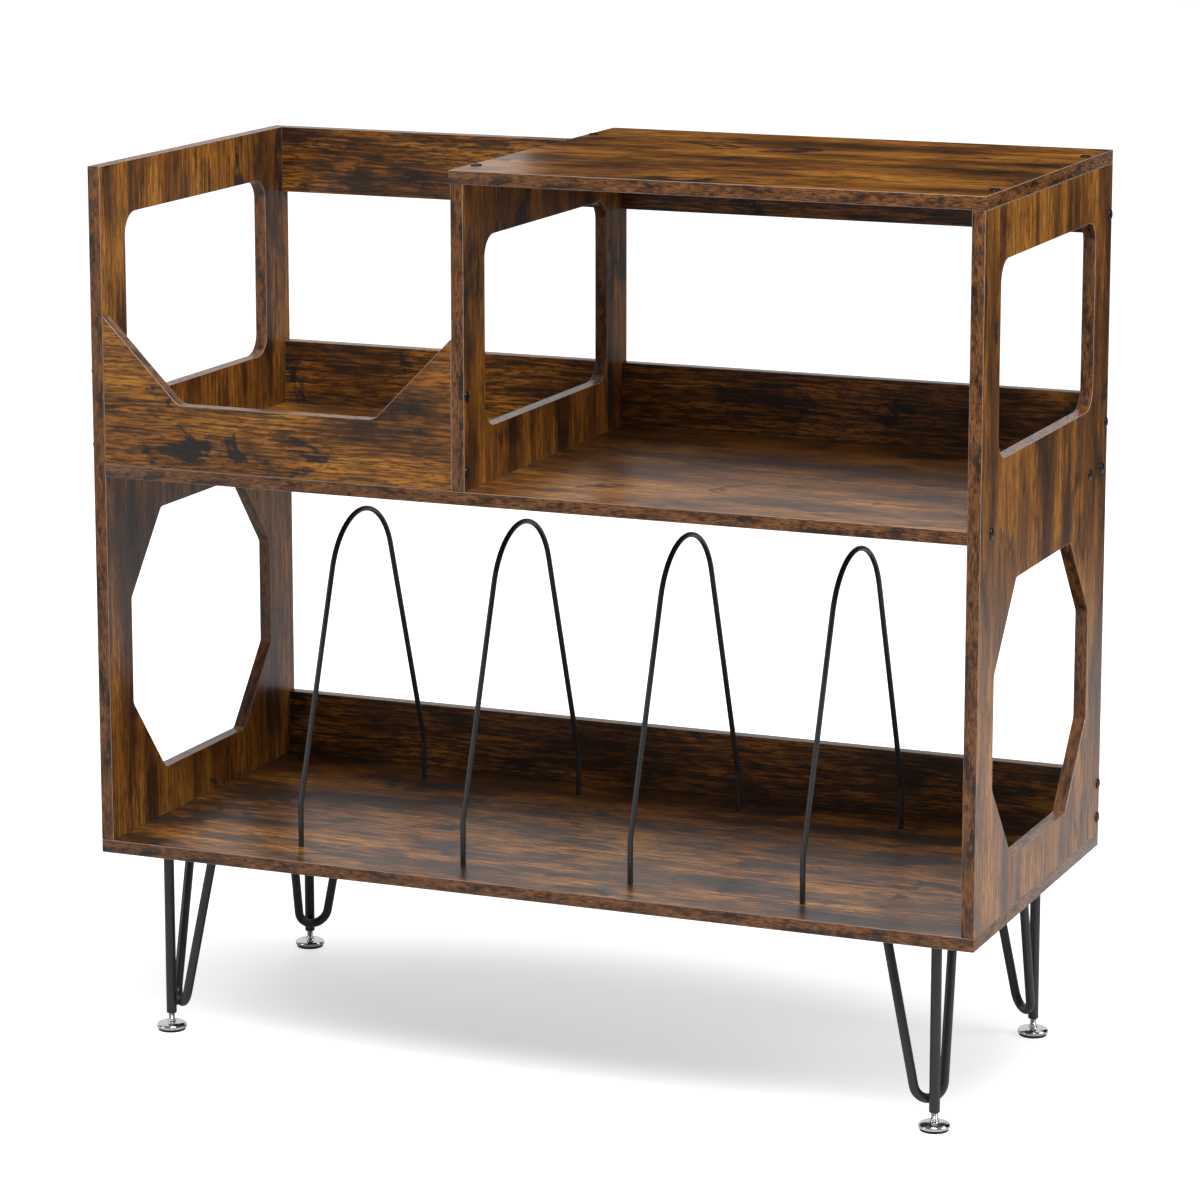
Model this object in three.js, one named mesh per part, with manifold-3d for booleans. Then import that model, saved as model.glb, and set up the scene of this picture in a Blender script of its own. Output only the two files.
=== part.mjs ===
// A record storage stand: a bay for upright records with wire dividers, an open-topped
// bin and a player compartment above it, on four steel legs with levelling feet.
// Millimetres. +X to the right, +Y to the back, +Z up; the origin lies on the floor
// under the middle of the stand.

import * as THREE from 'three';
import { mergeVertices } from 'three/addons/utils/BufferGeometryUtils.js';
import Module from 'manifold-3d';

const wasm = await Module();
wasm.setup();

// ------------------------------------------------------------------ driving dimensions

// Boards
const STAND_WIDTH = 840; // over the outer faces of the side panels
const STAND_DEPTH = 375;
const BOARD_THICKNESS = 12;
const BUTT_GAP = 0.1; // hairline where a board's edge meets another board
const RECORD_BAY_HEIGHT = 340; // clear, from the bottom board to the shelf
const UPPER_HEIGHT = 270; // clear, from the shelf to the top board
const BIN_WIDTH = 344; // clear, from the left side panel to the divider panel
const TOP_OVERHANG = 2; // of the top board past the divider panel
const TOP_RAIL_HEIGHT = 63;
const MIDDLE_BACK_HEIGHT = 61;
const BOTTOM_BACK_HEIGHT = 61.5;

// Rounded windows in the upper half of the side panels and in the divider panel
const WINDOW_FRONT_FRAME = 46;
const WINDOW_BACK_FRAME = 49;
const WINDOW_SILL = 53; // above the shelf, in a side panel
const WINDOW_HEAD = 47; // below the panel's top edge, in a side panel
const DIVIDER_WINDOW_SILL = 50;
const DIVIDER_WINDOW_HEAD = 50;
const WINDOW_RADIUS = 20;

// Octagon in the lower half of each side panel
const OCTAGON_FRONT_FRAME = 44.5;
const OCTAGON_BACK_FRAME = 49.5;
const OCTAGON_SILL = 45.5; // above the bottom board
const OCTAGON_HEAD = 46; // below the shelf
const OCTAGON_CORNER_RUN = 60; // along the depth
const OCTAGON_CORNER_RISE = 74.5; // along the height
const OCTAGON_RADIUS = 6;

// Front panel of the bin
const BIN_FRONT_HEIGHT = 135; // at both ends
const BIN_LIP_HEIGHT = 58.5; // across the notch
const BIN_NOTCH_RUN = 75; // along the width, of each slope
const BIN_NOTCH_RADIUS = 15;

// Wire record dividers, bent from round rod
const WIRE_COUNT = 4;
const WIRE_DIAMETER = 5;
const WIRE_LEFT_BAY = 168; // from the left side panel's inner face to the first wire
const WIRE_RIGHT_BAY = 160.5; // from the last wire to the right side panel's inner face
const WIRE_FRONT = 49; // from the front edge to the front foot's axis
const WIRE_BACK = 58; // from the back foot's axis to the back edge
const WIRE_HEADROOM = 50; // from the arch's centreline up to the shelf
const WIRE_FOOT_HEIGHT = 40; // upright stretch above the bottom board
const WIRE_ARCH_RADIUS = 66.5;
const WIRE_KNEE_RADIUS = 15;
const WIRE_HOLE_DEPTH = 8;
const WIRE_CLEARANCE = 0.3; // all round the rod in its hole, and under its end

// Legs
const LEG_HEIGHT = 160.5; // from the bottom board down to the post's end
const LEG_SIDE = 46.5; // from the stand's side to the post's axis
const LEG_FRONT = 42; // from the front or the back edge to the post's axis
const POST_DIAMETER = 9.5;
const POST_CHAMFER = 0.8;
const ROD_DIAMETER = 8.5;
const ROD_REACH = 47; // from the post's axis to each upper end of the bent rod
const ROD_BEND_RADIUS = 15;
const ROD_BEND_HEIGHT = 9.9; // of the bend's lowest centreline point above the post's end
const WELD_GAP = 0.3; // between the pieces of a welded leg
const PLATE_THICKNESS = 3;
const PLATE_MARGIN = 20; // of the plate past the axes of post and rod
const PLATE_RADIUS = 10;
const PLATE_HOLE_DIAMETER = 4.5;
const PLATE_HOLE_INSET = 9; // from the plate's edges
const SEAT_GAP = 0.1; // under a plate or a screw's head

// Levelling feet
const FLOOR_GAP = 16; // from the post's end down to the floor
const FOOT_LIFT = 6; // that a foot can still be screwed in
const STUD_DIAMETER = 6;
const STUD_LENGTH = 26; // above the boss
const STUD_CHAMFER = 0.7;
const BORE_CLEARANCE = 0.3; // all round the stud
const BORE_END_CLEARANCE = 1; // above the stud when it is screwed in
const BOSS_DIAMETER = 8;
const BOSS_HEIGHT = 1.5;
const DOME_DIAMETER = 28;
const DOME_RISE = 3.5; // from the rim up to the boss
const RIM_HEIGHT = 2;
const PAD_DIAMETER = 25.5;
const PAD_THICKNESS = 2.2; // below the dome
const PAD_CHAMFER = 0.4;
const PAD_CLEARANCE = 0.3; // between the pad and the dome
const SPIGOT_DIAMETER = 19; // of the pad's round step, held in the dome
const SPIGOT_HEIGHT = 1.4;

// Panel screws
const SCREW_HEAD_DIAMETER = 10;
const SCREW_HEAD_HEIGHT = 2;
const SCREW_HEAD_EDGE = 0.5; // upright edge under the head's dome
const SCREW_DIAMETER = 4;
const SCREW_LENGTH = 38; // below the head
const SCREW_TIP = 4; // length of the pointed end
const SCREW_CLEARANCE = 0.3; // all round the shank, and beyond the tip
const RECESS_LENGTH = 5; // of each slot of the cross recess
const RECESS_WIDTH = 1;
const RECESS_DEPTH = 1;
const SHELF_SCREW_FRONT = 30; // from the front edge
const SHELF_SCREW_REAR = 53; // from the back edge
const SHELF_SCREW_BACK = 15; // from the back edge
const TOP_SCREW_FRONT = 42; // from the front edge
const TOP_SCREW_REAR = 67; // from the back edge
const TOP_RAIL_SCREW_RISE = 17; // above the rail's lower edge
const MIDDLE_BACK_SCREW_DROP = 26.5; // below the panel's upper edge
const BOTTOM_BACK_SCREW_RISE = 16; // above the panel's lower edge
const BOTTOM_BACK_SCREW_DROP = 13.5; // below the panel's upper edge
const BIN_SCREW_RISE = 17; // above the shelf
const BIN_SCREW_DROP = 51; // below the top of the panel's end

// How finely round shapes are divided
const WIRE_SIDES = 8;
const WIRE_ARCH_STEPS = 12;
const WIRE_KNEE_STEPS = 2;
const ROD_SIDES = 10;
const ROD_BEND_STEPS = 8;
const WINDOW_STEPS = 6;
const OCTAGON_STEPS = 2;
const NOTCH_STEPS = 4;
const PLATE_STEPS = 3;
const POST_SIDES = 16;
const FOOT_SIDES = 20;
const DOME_STEPS = 3;
const SCREW_SIDES = 10;
const HEAD_STEPS = 2;
const HOLE_SIDES = 10;

// ------------------------------------------------------------------- worked-out places

const halfWidth = STAND_WIDTH / 2;
const front = -STAND_DEPTH / 2;
const back = STAND_DEPTH / 2;
const baseUnderside = FLOOR_GAP + LEG_HEIGHT;
const baseTop = baseUnderside + BOARD_THICKNESS;
const shelfUnderside = baseTop + RECORD_BAY_HEIGHT;
const shelfTop = shelfUnderside + BOARD_THICKNESS;
const panelTop = shelfTop + UPPER_HEIGHT;
const topBoardTop = panelTop + BOARD_THICKNESS;
const innerSide = halfWidth - BOARD_THICKNESS;
const dividerLeft = BIN_WIDTH - innerSide;
const dividerRight = dividerLeft + BOARD_THICKNESS;
const backPanelFront = back - BOARD_THICKNESS;
const legY = back - LEG_FRONT;
const legX = halfWidth - LEG_SIDE;

const X_AXIS = new THREE.Vector3(1, 0, 0);
const Y_AXIS = new THREE.Vector3(0, 1, 0);
const Z_AXIS = new THREE.Vector3(0, 0, 1);
const LEFT = X_AXIS.clone().negate();
const RIGHT = X_AXIS;
const UP = Z_AXIS;
const CUT_MARGIN = 1; // by which a cutter runs past the face that it opens

// -------------------------------------------------------------------------- materials

const finish = (name, color, roughness, metalness) =>
  new THREE.MeshStandardMaterial({ name, color, roughness, metalness });

const brownBoard = () => finish('brown_board', 0x7a4a26, 0.42, 0);
const blackSteel = () => finish('black_steel', 0x17181a, 0.5, 0.6);
const blackScrew = () => finish('black_screw', 0x0f0f10, 0.35, 0.8);
const chromeSteel = () => finish('chrome_steel', 0xc9ccd0, 0.12, 1);
const blackRubber = () => finish('black_rubber', 0x141414, 0.85, 0);

// ------------------------------------------------------------------- solids and meshes

// Turns a closed geometry into a solid that can be joined and cut.
function solidOf(geometry) {
  const shell = geometry.clone();
  shell.deleteAttribute('normal');
  shell.deleteAttribute('uv');
  const merged = mergeVertices(shell, 1e-4);
  return new wasm.Manifold(new wasm.Mesh({
    numProp: 3,
    vertProperties: new Float32Array(merged.attributes.position.array),
    triVerts: new Uint32Array(merged.index.array),
  }));
}

function geometryOf(solid) {
  const { vertProperties, triVerts } = solid.getMesh();
  const geometry = new THREE.BufferGeometry();
  geometry.setAttribute('position', new THREE.BufferAttribute(vertProperties, 3));
  geometry.setIndex(new THREE.BufferAttribute(triVerts, 1));
  geometry.computeVertexNormals();
  return geometry;
}

function namedMesh(name, geometry, material) {
  const mesh = new THREE.Mesh(geometry, material);
  mesh.name = name;
  return mesh;
}

function boxSolid(low, high) {
  const size = high.map((value, axis) => value - low[axis]);
  const centre = high.map((value, axis) => (value + low[axis]) / 2);
  return solidOf(new THREE.BoxGeometry(...size).translate(...centre));
}

// A round bar from one point to another.
function barSolid(from, to, diameter, sides) {
  const way = to.clone().sub(from);
  const geometry = new THREE.CylinderGeometry(diameter / 2, diameter / 2, way.length(), sides);
  geometry.applyQuaternion(new THREE.Quaternion().setFromUnitVectors(Y_AXIS, way.clone().normalize()));
  const middle = from.clone().add(to).multiplyScalar(0.5);
  return solidOf(geometry.translate(middle.x, middle.y, middle.z));
}

// A profile of [radius, height] points, from the axis to the axis, turned about Z.
function turnedSolid(profile, sides) {
  const points = profile.map(([radius, height]) => new THREE.Vector2(radius, height));
  return solidOf(new THREE.LatheGeometry(points, sides).rotateX(Math.PI / 2));
}

// A quarter of an ellipse in a turned profile, from its foot up to its top.
function quarterRound(innerRadius, outerRadius, low, high, steps) {
  return Array.from({ length: steps + 1 }, (_, i) => {
    const angle = (Math.PI / 2) * (i / steps);
    return [
      innerRadius + (outerRadius - innerRadius) * Math.cos(angle),
      low + (high - low) * Math.sin(angle),
    ];
  });
}

// An outline with each corner rounded by its radius. Corners are [x, y, radius].
function roundedOutline(corners, steps) {
  const count = corners.length;
  const points = corners.map(([x, y]) => new THREE.Vector2(x, y));
  return points.flatMap((corner, i) => {
    const before = points[(i + count - 1) % count];
    const after = points[(i + 1) % count];
    return roundedCorner(before, corner, after, corners[i][2], steps);
  });
}

function roundedCorner(before, corner, after, radius, steps) {
  if (radius === 0) {
    return [corner];
  }
  const toBefore = before.clone().sub(corner).normalize();
  const toAfter = after.clone().sub(corner).normalize();
  const halfAngle = Math.acos(toBefore.dot(toAfter)) / 2;
  const toCentre = toBefore.clone().add(toAfter).normalize().multiplyScalar(radius / Math.sin(halfAngle));
  const centre = corner.clone().add(toCentre);
  const start = corner.clone().addScaledVector(toBefore, radius / Math.tan(halfAngle)).sub(centre);
  const turn = Math.sign(toAfter.cross(toBefore)) * (Math.PI - 2 * halfAngle);
  return Array.from({ length: steps + 1 }, (_, i) =>
    start.clone().rotateAround(new THREE.Vector2(), turn * (i / steps)).add(centre));
}

function roundedRectangle(left, right, low, high, radius, steps) {
  return roundedOutline([
    [left, low, radius],
    [right, low, radius],
    [right, high, radius],
    [left, high, radius],
  ], steps);
}

function rectangle(left, right, low, high) {
  return roundedRectangle(left, right, low, high, 0, 0);
}

function outlineGeometry(outline, holes, depth) {
  const shape = new THREE.Shape(outline);
  shape.holes = holes.map((hole) => new THREE.Path(hole));
  return new THREE.ExtrudeGeometry(shape, { depth, bevelEnabled: false });
}

// A panel that stands across the width: its outline lies in depth (Y) and height (Z).
function sidewaysPanel(outline, holes, left, right) {
  const geometry = outlineGeometry(outline, holes, right - left);
  geometry.applyMatrix4(new THREE.Matrix4().makeBasis(Y_AXIS, Z_AXIS, X_AXIS));
  return solidOf(geometry.translate(left, 0, 0));
}

// A panel that faces the front: its outline lies in width (X) and height (Z).
function frontPanel(outline, near, far) {
  const geometry = outlineGeometry(outline, [], far - near);
  return solidOf(geometry.rotateX(Math.PI / 2).translate(0, far, 0));
}

// A path through points, with its cross-section halfway between the stretches that meet.
class BentPath extends THREE.Curve {
  constructor(points) {
    super();
    this.points = points;
  }

  getPoint(t, target = new THREE.Vector3()) {
    const last = this.points.length - 1;
    const index = Math.min(Math.floor(t * last), last - 1);
    return target.lerpVectors(this.points[index], this.points[index + 1], t * last - index);
  }

  getPointAt(u, target) {
    return this.getPoint(u, target);
  }

  getTangentAt(u, target = new THREE.Vector3()) {
    const last = this.points.length - 1;
    const index = Math.round(u * last);
    const stretch = (i) => this.points[i + 1].clone().sub(this.points[i]).normalize();
    target.set(0, 0, 0);
    if (index > 0) {
      target.add(stretch(index - 1));
    }
    if (index < last) {
      target.add(stretch(index));
    }
    return target.normalize();
  }
}

function bentRod(points, diameter, sides) {
  const section = Array.from({ length: sides }, (_, i) =>
    new THREE.Vector2(diameter / 2, 0).rotateAround(new THREE.Vector2(), (2 * Math.PI * i) / sides));
  return solidOf(new THREE.ExtrudeGeometry(new THREE.Shape(section), {
    steps: points.length - 1,
    extrudePath: new BentPath(points),
  }));
}

// Two straight stretches and the round bend between them, from (-spread / 2, 0) over the
// bend, which rises to the given height, and down again to (spread / 2, 0).
function archPoints(spread, rise, radius, steps) {
  const centre = rise - radius;
  const reach = Math.hypot(spread / 2, centre);
  const lean = Math.atan2(spread / 2, centre) - Math.asin(radius / reach);
  const bend = Array.from({ length: steps + 1 }, (_, i) => {
    const angle = Math.PI - lean - (Math.PI - 2 * lean) * (i / steps);
    return new THREE.Vector2(radius * Math.cos(angle), centre + radius * Math.sin(angle));
  });
  return [new THREE.Vector2(-spread / 2, 0), ...bend, new THREE.Vector2(spread / 2, 0)];
}

// ----------------------------------------------------------------------- panel screws

// Each screw has the place of its head on a face and the direction that the face looks.
function sideScrews(side, outwards, faceX) {
  const at = (name, y, z) => ({
    name: `screw_${side}_${name}`,
    seat: new THREE.Vector3(faceX, y, z),
    outwards,
  });
  const shelfMiddle = (shelfUnderside + shelfTop) / 2;
  const backMiddle = (backPanelFront + back) / 2;
  return [
    at('shelf_front', front + SHELF_SCREW_FRONT, shelfMiddle),
    at('shelf_rear', back - SHELF_SCREW_REAR, shelfMiddle),
    at('shelf_back', back - SHELF_SCREW_BACK, shelfMiddle),
    at('top_rail', backMiddle, panelTop - TOP_RAIL_HEIGHT + TOP_RAIL_SCREW_RISE),
    at('middle_back', backMiddle, shelfTop + MIDDLE_BACK_HEIGHT - MIDDLE_BACK_SCREW_DROP),
    at('bottom_back_low', backMiddle, baseTop + BOTTOM_BACK_SCREW_RISE),
    at('bottom_back_high', backMiddle, baseTop + BOTTOM_BACK_HEIGHT - BOTTOM_BACK_SCREW_DROP),
  ];
}

function binScrews(side, outwards, faceX) {
  const frontMiddle = front + BOARD_THICKNESS / 2;
  const at = (name, z) => ({
    name: `screw_${side}_${name}`,
    seat: new THREE.Vector3(faceX, frontMiddle, z),
    outwards,
  });
  return [
    at('bin_low', shelfTop + BIN_SCREW_RISE),
    at('bin_high', shelfTop + BIN_FRONT_HEIGHT - BIN_SCREW_DROP),
  ];
}

function topScrews(name, x) {
  const at = (place, y) => ({
    name: `screw_top_${name}_${place}`,
    seat: new THREE.Vector3(x, y, topBoardTop),
    outwards: UP,
  });
  return [
    at('front', front + TOP_SCREW_FRONT),
    at('rear', back - TOP_SCREW_REAR),
  ];
}

const screws = [
  ...sideScrews('right', RIGHT, halfWidth),
  ...sideScrews('left', LEFT, -halfWidth),
  ...binScrews('left', LEFT, -halfWidth),
  ...binScrews('divider', RIGHT, dividerRight),
  ...topScrews('right', halfWidth - BOARD_THICKNESS / 2),
  ...topScrews('divider', (dividerLeft + dividerRight) / 2),
];

const screwHoles = screws.map(({ seat, outwards }) => barSolid(
  seat.clone().addScaledVector(outwards, CUT_MARGIN),
  seat.clone().addScaledVector(outwards, -SCREW_LENGTH - SCREW_CLEARANCE),
  SCREW_DIAMETER + 2 * SCREW_CLEARANCE,
  HOLE_SIDES,
));

function screwGeometry() {
  const radius = SCREW_DIAMETER / 2;
  const edgeTop = SEAT_GAP + SCREW_HEAD_EDGE;
  const body = turnedSolid([
    [0, -SCREW_LENGTH],
    [radius, SCREW_TIP - SCREW_LENGTH],
    [radius, SEAT_GAP],
    [SCREW_HEAD_DIAMETER / 2, SEAT_GAP],
    ...quarterRound(0, SCREW_HEAD_DIAMETER / 2, edgeTop, SCREW_HEAD_HEIGHT, HEAD_STEPS),
  ], SCREW_SIDES);
  const floor = SCREW_HEAD_HEIGHT - RECESS_DEPTH;
  const ceiling = SCREW_HEAD_HEIGHT + CUT_MARGIN;
  const long = RECESS_LENGTH / 2;
  const wide = RECESS_WIDTH / 2;
  return geometryOf(body
    .subtract(boxSolid([-long, -wide, floor], [long, wide, ceiling]))
    .subtract(boxSolid([-wide, -long, floor], [wide, long, ceiling])));
}

function addScrews(stand) {
  const geometry = screwGeometry();
  for (const { name, seat, outwards } of screws) {
    const screw = namedMesh(name, geometry, blackScrew());
    screw.position.copy(seat);
    screw.quaternion.setFromUnitVectors(UP, outwards);
    stand.add(screw);
  }
}

// ----------------------------------------------------------------------------- boards

// Drills a board for every screw that enters it and places it about its own middle.
function addBoard(stand, name, board) {
  const drilled = screwHoles.reduce((solid, hole) => solid.subtract(hole), board);
  const geometry = geometryOf(drilled);
  geometry.computeBoundingBox();
  const middle = geometry.boundingBox.getCenter(new THREE.Vector3());
  const mesh = namedMesh(name, geometry.translate(-middle.x, -middle.y, -middle.z), brownBoard());
  mesh.position.copy(middle);
  stand.add(mesh);
}

function windowOutline(low, high) {
  const near = front + WINDOW_FRONT_FRAME;
  const far = back - WINDOW_BACK_FRAME;
  return roundedRectangle(near, far, low, high, WINDOW_RADIUS, WINDOW_STEPS);
}

function octagonOutline() {
  const near = front + OCTAGON_FRONT_FRAME;
  const far = back - OCTAGON_BACK_FRAME;
  const low = baseTop + OCTAGON_SILL;
  const high = shelfUnderside - OCTAGON_HEAD;
  return roundedOutline([
    [near + OCTAGON_CORNER_RUN, low, OCTAGON_RADIUS],
    [far - OCTAGON_CORNER_RUN, low, OCTAGON_RADIUS],
    [far, low + OCTAGON_CORNER_RISE, OCTAGON_RADIUS],
    [far, high - OCTAGON_CORNER_RISE, OCTAGON_RADIUS],
    [far - OCTAGON_CORNER_RUN, high, OCTAGON_RADIUS],
    [near + OCTAGON_CORNER_RUN, high, OCTAGON_RADIUS],
    [near, high - OCTAGON_CORNER_RISE, OCTAGON_RADIUS],
    [near, low + OCTAGON_CORNER_RISE, OCTAGON_RADIUS],
  ], OCTAGON_STEPS);
}

function sidePanel(left, right) {
  const outline = rectangle(front, back, baseTop + BUTT_GAP, panelTop - BUTT_GAP);
  const holes = [windowOutline(shelfTop + WINDOW_SILL, panelTop - WINDOW_HEAD), octagonOutline()];
  return sidewaysPanel(outline, holes, left, right);
}

function dividerPanel() {
  const outline = rectangle(front, back, shelfTop + BUTT_GAP, panelTop - BUTT_GAP);
  const hole = windowOutline(shelfTop + DIVIDER_WINDOW_SILL, panelTop - DIVIDER_WINDOW_HEAD);
  return sidewaysPanel(outline, [hole], dividerLeft, dividerRight);
}

function binFrontPanel() {
  const left = -innerSide + BUTT_GAP;
  const right = dividerLeft - BUTT_GAP;
  const lip = shelfTop + BIN_LIP_HEIGHT;
  const top = shelfTop + BIN_FRONT_HEIGHT;
  const outline = roundedOutline([
    [left, shelfTop + BUTT_GAP, 0],
    [right, shelfTop + BUTT_GAP, 0],
    [right, top, 0],
    [right - BIN_NOTCH_RUN, lip, BIN_NOTCH_RADIUS],
    [left + BIN_NOTCH_RUN, lip, BIN_NOTCH_RADIUS],
    [left, top, 0],
  ], NOTCH_STEPS);
  return frontPanel(outline, front, front + BOARD_THICKNESS);
}

// A strip along the back, from one upright board to the next.
function backStrip(left, right, low, high) {
  return boxSolid([left + BUTT_GAP, backPanelFront, low], [right - BUTT_GAP, back, high]);
}

function bottomBoard() {
  let board = boxSolid([-halfWidth, front, baseUnderside], [halfWidth, back, baseTop]);
  for (const x of wirePlaces()) {
    for (const y of [front + WIRE_FRONT, back - WIRE_BACK]) {
      const mouth = new THREE.Vector3(x, y, baseTop + CUT_MARGIN);
      const end = new THREE.Vector3(x, y, baseTop - WIRE_HOLE_DEPTH);
      board = board.subtract(barSolid(mouth, end, WIRE_DIAMETER + 2 * WIRE_CLEARANCE, HOLE_SIDES));
    }
  }
  return board;
}

function addBoards(stand) {
  const railLow = panelTop - TOP_RAIL_HEIGHT;
  const railTop = panelTop - BUTT_GAP;
  const shelfSeat = shelfTop + BUTT_GAP;
  const middleTop = shelfTop + MIDDLE_BACK_HEIGHT;
  const shelfEnd = innerSide - BUTT_GAP;
  const shelf = boxSolid([-shelfEnd, front, shelfUnderside], [shelfEnd, back, shelfTop]);
  const top = boxSolid([dividerLeft - TOP_OVERHANG, front, panelTop], [halfWidth, back, topBoardTop]);
  const lowStrip = backStrip(-innerSide, innerSide, baseTop + BUTT_GAP, baseTop + BOTTOM_BACK_HEIGHT);
  addBoard(stand, 'bottom_board', bottomBoard());
  addBoard(stand, 'left_side_panel', sidePanel(-halfWidth, -innerSide));
  addBoard(stand, 'right_side_panel', sidePanel(innerSide, halfWidth));
  addBoard(stand, 'middle_shelf', shelf);
  addBoard(stand, 'divider_panel', dividerPanel());
  addBoard(stand, 'top_board', top);
  addBoard(stand, 'bin_front_panel', binFrontPanel());
  addBoard(stand, 'top_back_rail_left', backStrip(-innerSide, dividerLeft, railLow, railTop));
  addBoard(stand, 'top_back_rail_right', backStrip(dividerRight, innerSide, railLow, railTop));
  addBoard(stand, 'middle_back_panel_left', backStrip(-innerSide, dividerLeft, shelfSeat, middleTop));
  addBoard(stand, 'middle_back_panel_right', backStrip(dividerRight, innerSide, shelfSeat, middleTop));
  addBoard(stand, 'bottom_back_panel', lowStrip);
}

// --------------------------------------------------------------- wire record dividers

function wirePlaces() {
  const first = -innerSide + WIRE_LEFT_BAY;
  const last = innerSide - WIRE_RIGHT_BAY;
  return Array.from({ length: WIRE_COUNT }, (_, i) => first + ((last - first) * i) / (WIRE_COUNT - 1));
}

// An arch on two upright feet, about the middle between its holes at the board's top.
function wireGeometry() {
  const spread = STAND_DEPTH - WIRE_FRONT - WIRE_BACK;
  const footEnd = WIRE_CLEARANCE - WIRE_HOLE_DEPTH;
  const rise = RECORD_BAY_HEIGHT - WIRE_HEADROOM - WIRE_FOOT_HEIGHT;
  const arch = archPoints(spread, rise, WIRE_ARCH_RADIUS, WIRE_ARCH_STEPS);
  arch.forEach((point) => point.setY(point.y + WIRE_FOOT_HEIGHT));
  const [kneeFront, kneeBack] = [arch[0], arch[arch.length - 1]];
  const footFront = new THREE.Vector2(kneeFront.x, footEnd);
  const footBack = new THREE.Vector2(kneeBack.x, footEnd);
  const outline = [
    footFront,
    ...roundedCorner(footFront, kneeFront, arch[1], WIRE_KNEE_RADIUS, WIRE_KNEE_STEPS),
    ...arch.slice(1, -1),
    ...roundedCorner(arch[arch.length - 2], kneeBack, footBack, WIRE_KNEE_RADIUS, WIRE_KNEE_STEPS),
    footBack,
  ];
  const path = outline.map((point) => new THREE.Vector3(0, point.x, point.y));
  return geometryOf(bentRod(path, WIRE_DIAMETER, WIRE_SIDES));
}

function addWires(stand) {
  const geometry = wireGeometry();
  wirePlaces().forEach((x, i) => {
    const wire = namedMesh(`record_divider_${i + 1}`, geometry, blackSteel());
    wire.position.set(x, (WIRE_FRONT - WIRE_BACK) / 2, baseTop);
    stand.add(wire);
  });
}

// ------------------------------------------------------------------- legs and their feet

const plateUnderside = -SEAT_GAP - PLATE_THICKNESS;
const footTop = PAD_THICKNESS + PAD_CLEARANCE + RIM_HEIGHT + DOME_RISE + BOSS_HEIGHT;
const boreRadius = STUD_DIAMETER / 2 + BORE_CLEARANCE;
const boreDepth = footTop + STUD_LENGTH - FLOOR_GAP + FOOT_LIFT + BORE_END_CLEARANCE;

function plateGeometry() {
  const low = -PLATE_MARGIN;
  const high = ROD_REACH + PLATE_MARGIN;
  const outline = roundedRectangle(low, high, low, high, PLATE_RADIUS, PLATE_STEPS);
  let plate = solidOf(outlineGeometry(outline, [], PLATE_THICKNESS).translate(0, 0, plateUnderside));
  for (const x of [low + PLATE_HOLE_INSET, high - PLATE_HOLE_INSET]) {
    for (const y of [low + PLATE_HOLE_INSET, high - PLATE_HOLE_INSET]) {
      const over = new THREE.Vector3(x, y, CUT_MARGIN);
      const under = new THREE.Vector3(x, y, plateUnderside - CUT_MARGIN);
      plate = plate.subtract(barSolid(over, under, PLATE_HOLE_DIAMETER, HOLE_SIDES));
    }
  }
  return geometryOf(plate);
}

function postGeometry() {
  const radius = POST_DIAMETER / 2;
  const top = plateUnderside - WELD_GAP;
  return geometryOf(turnedSolid([
    [0, boreDepth - LEG_HEIGHT],
    [boreRadius, boreDepth - LEG_HEIGHT],
    [boreRadius, -LEG_HEIGHT],
    [radius - POST_CHAMFER, -LEG_HEIGHT],
    [radius, POST_CHAMFER - LEG_HEIGHT],
    [radius, top],
    [0, top],
  ], POST_SIDES));
}

// The bent rod hangs from two places under the plate and touches the post with its bend.
// Its ends run on into the plate and are cut level below it.
function rodGeometry() {
  const touch = (POST_DIAMETER + ROD_DIAMETER) / 2 + WELD_GAP;
  const inwards = new THREE.Vector3(1, 1, 0).normalize();
  const across = new THREE.Vector3(1, -1, 0).normalize();
  const endsMiddle = new THREE.Vector3(ROD_REACH / 2, ROD_REACH / 2, 0);
  const bendPlace = inwards.clone().multiplyScalar(touch).setZ(ROD_BEND_HEIGHT - LEG_HEIGHT);
  const down = bendPlace.clone().sub(endsMiddle);
  const rise = down.length();
  down.normalize();
  const path = archPoints(ROD_REACH * Math.SQRT2, rise, ROD_BEND_RADIUS, ROD_BEND_STEPS).map((point) =>
    endsMiddle.clone().addScaledVector(across, point.x).addScaledVector(down, point.y));
  const rod = bentRod(path, ROD_DIAMETER, ROD_SIDES);
  const reach = ROD_REACH + PLATE_MARGIN;
  const above = boxSolid([-reach, -reach, plateUnderside - WELD_GAP], [reach, reach, ROD_DIAMETER]);
  return geometryOf(rod.subtract(above));
}

// Heights of a foot and its pad are counted from the floor.
function footGeometry() {
  const rimLow = PAD_THICKNESS + PAD_CLEARANCE;
  const rimTop = rimLow + RIM_HEIGHT;
  const domeTop = rimTop + DOME_RISE;
  const recessRadius = SPIGOT_DIAMETER / 2 + PAD_CLEARANCE;
  const recessTop = rimLow + SPIGOT_HEIGHT;
  const studRadius = STUD_DIAMETER / 2;
  const studTop = footTop + STUD_LENGTH;
  return geometryOf(turnedSolid([
    [0, recessTop],
    [recessRadius, recessTop],
    [recessRadius, rimLow],
    [DOME_DIAMETER / 2, rimLow],
    ...quarterRound(BOSS_DIAMETER / 2, DOME_DIAMETER / 2, rimTop, domeTop, DOME_STEPS),
    [BOSS_DIAMETER / 2, footTop],
    [studRadius, footTop],
    [studRadius, studTop - STUD_CHAMFER],
    [studRadius - STUD_CHAMFER, studTop],
    [0, studTop],
  ], FOOT_SIDES));
}

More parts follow.
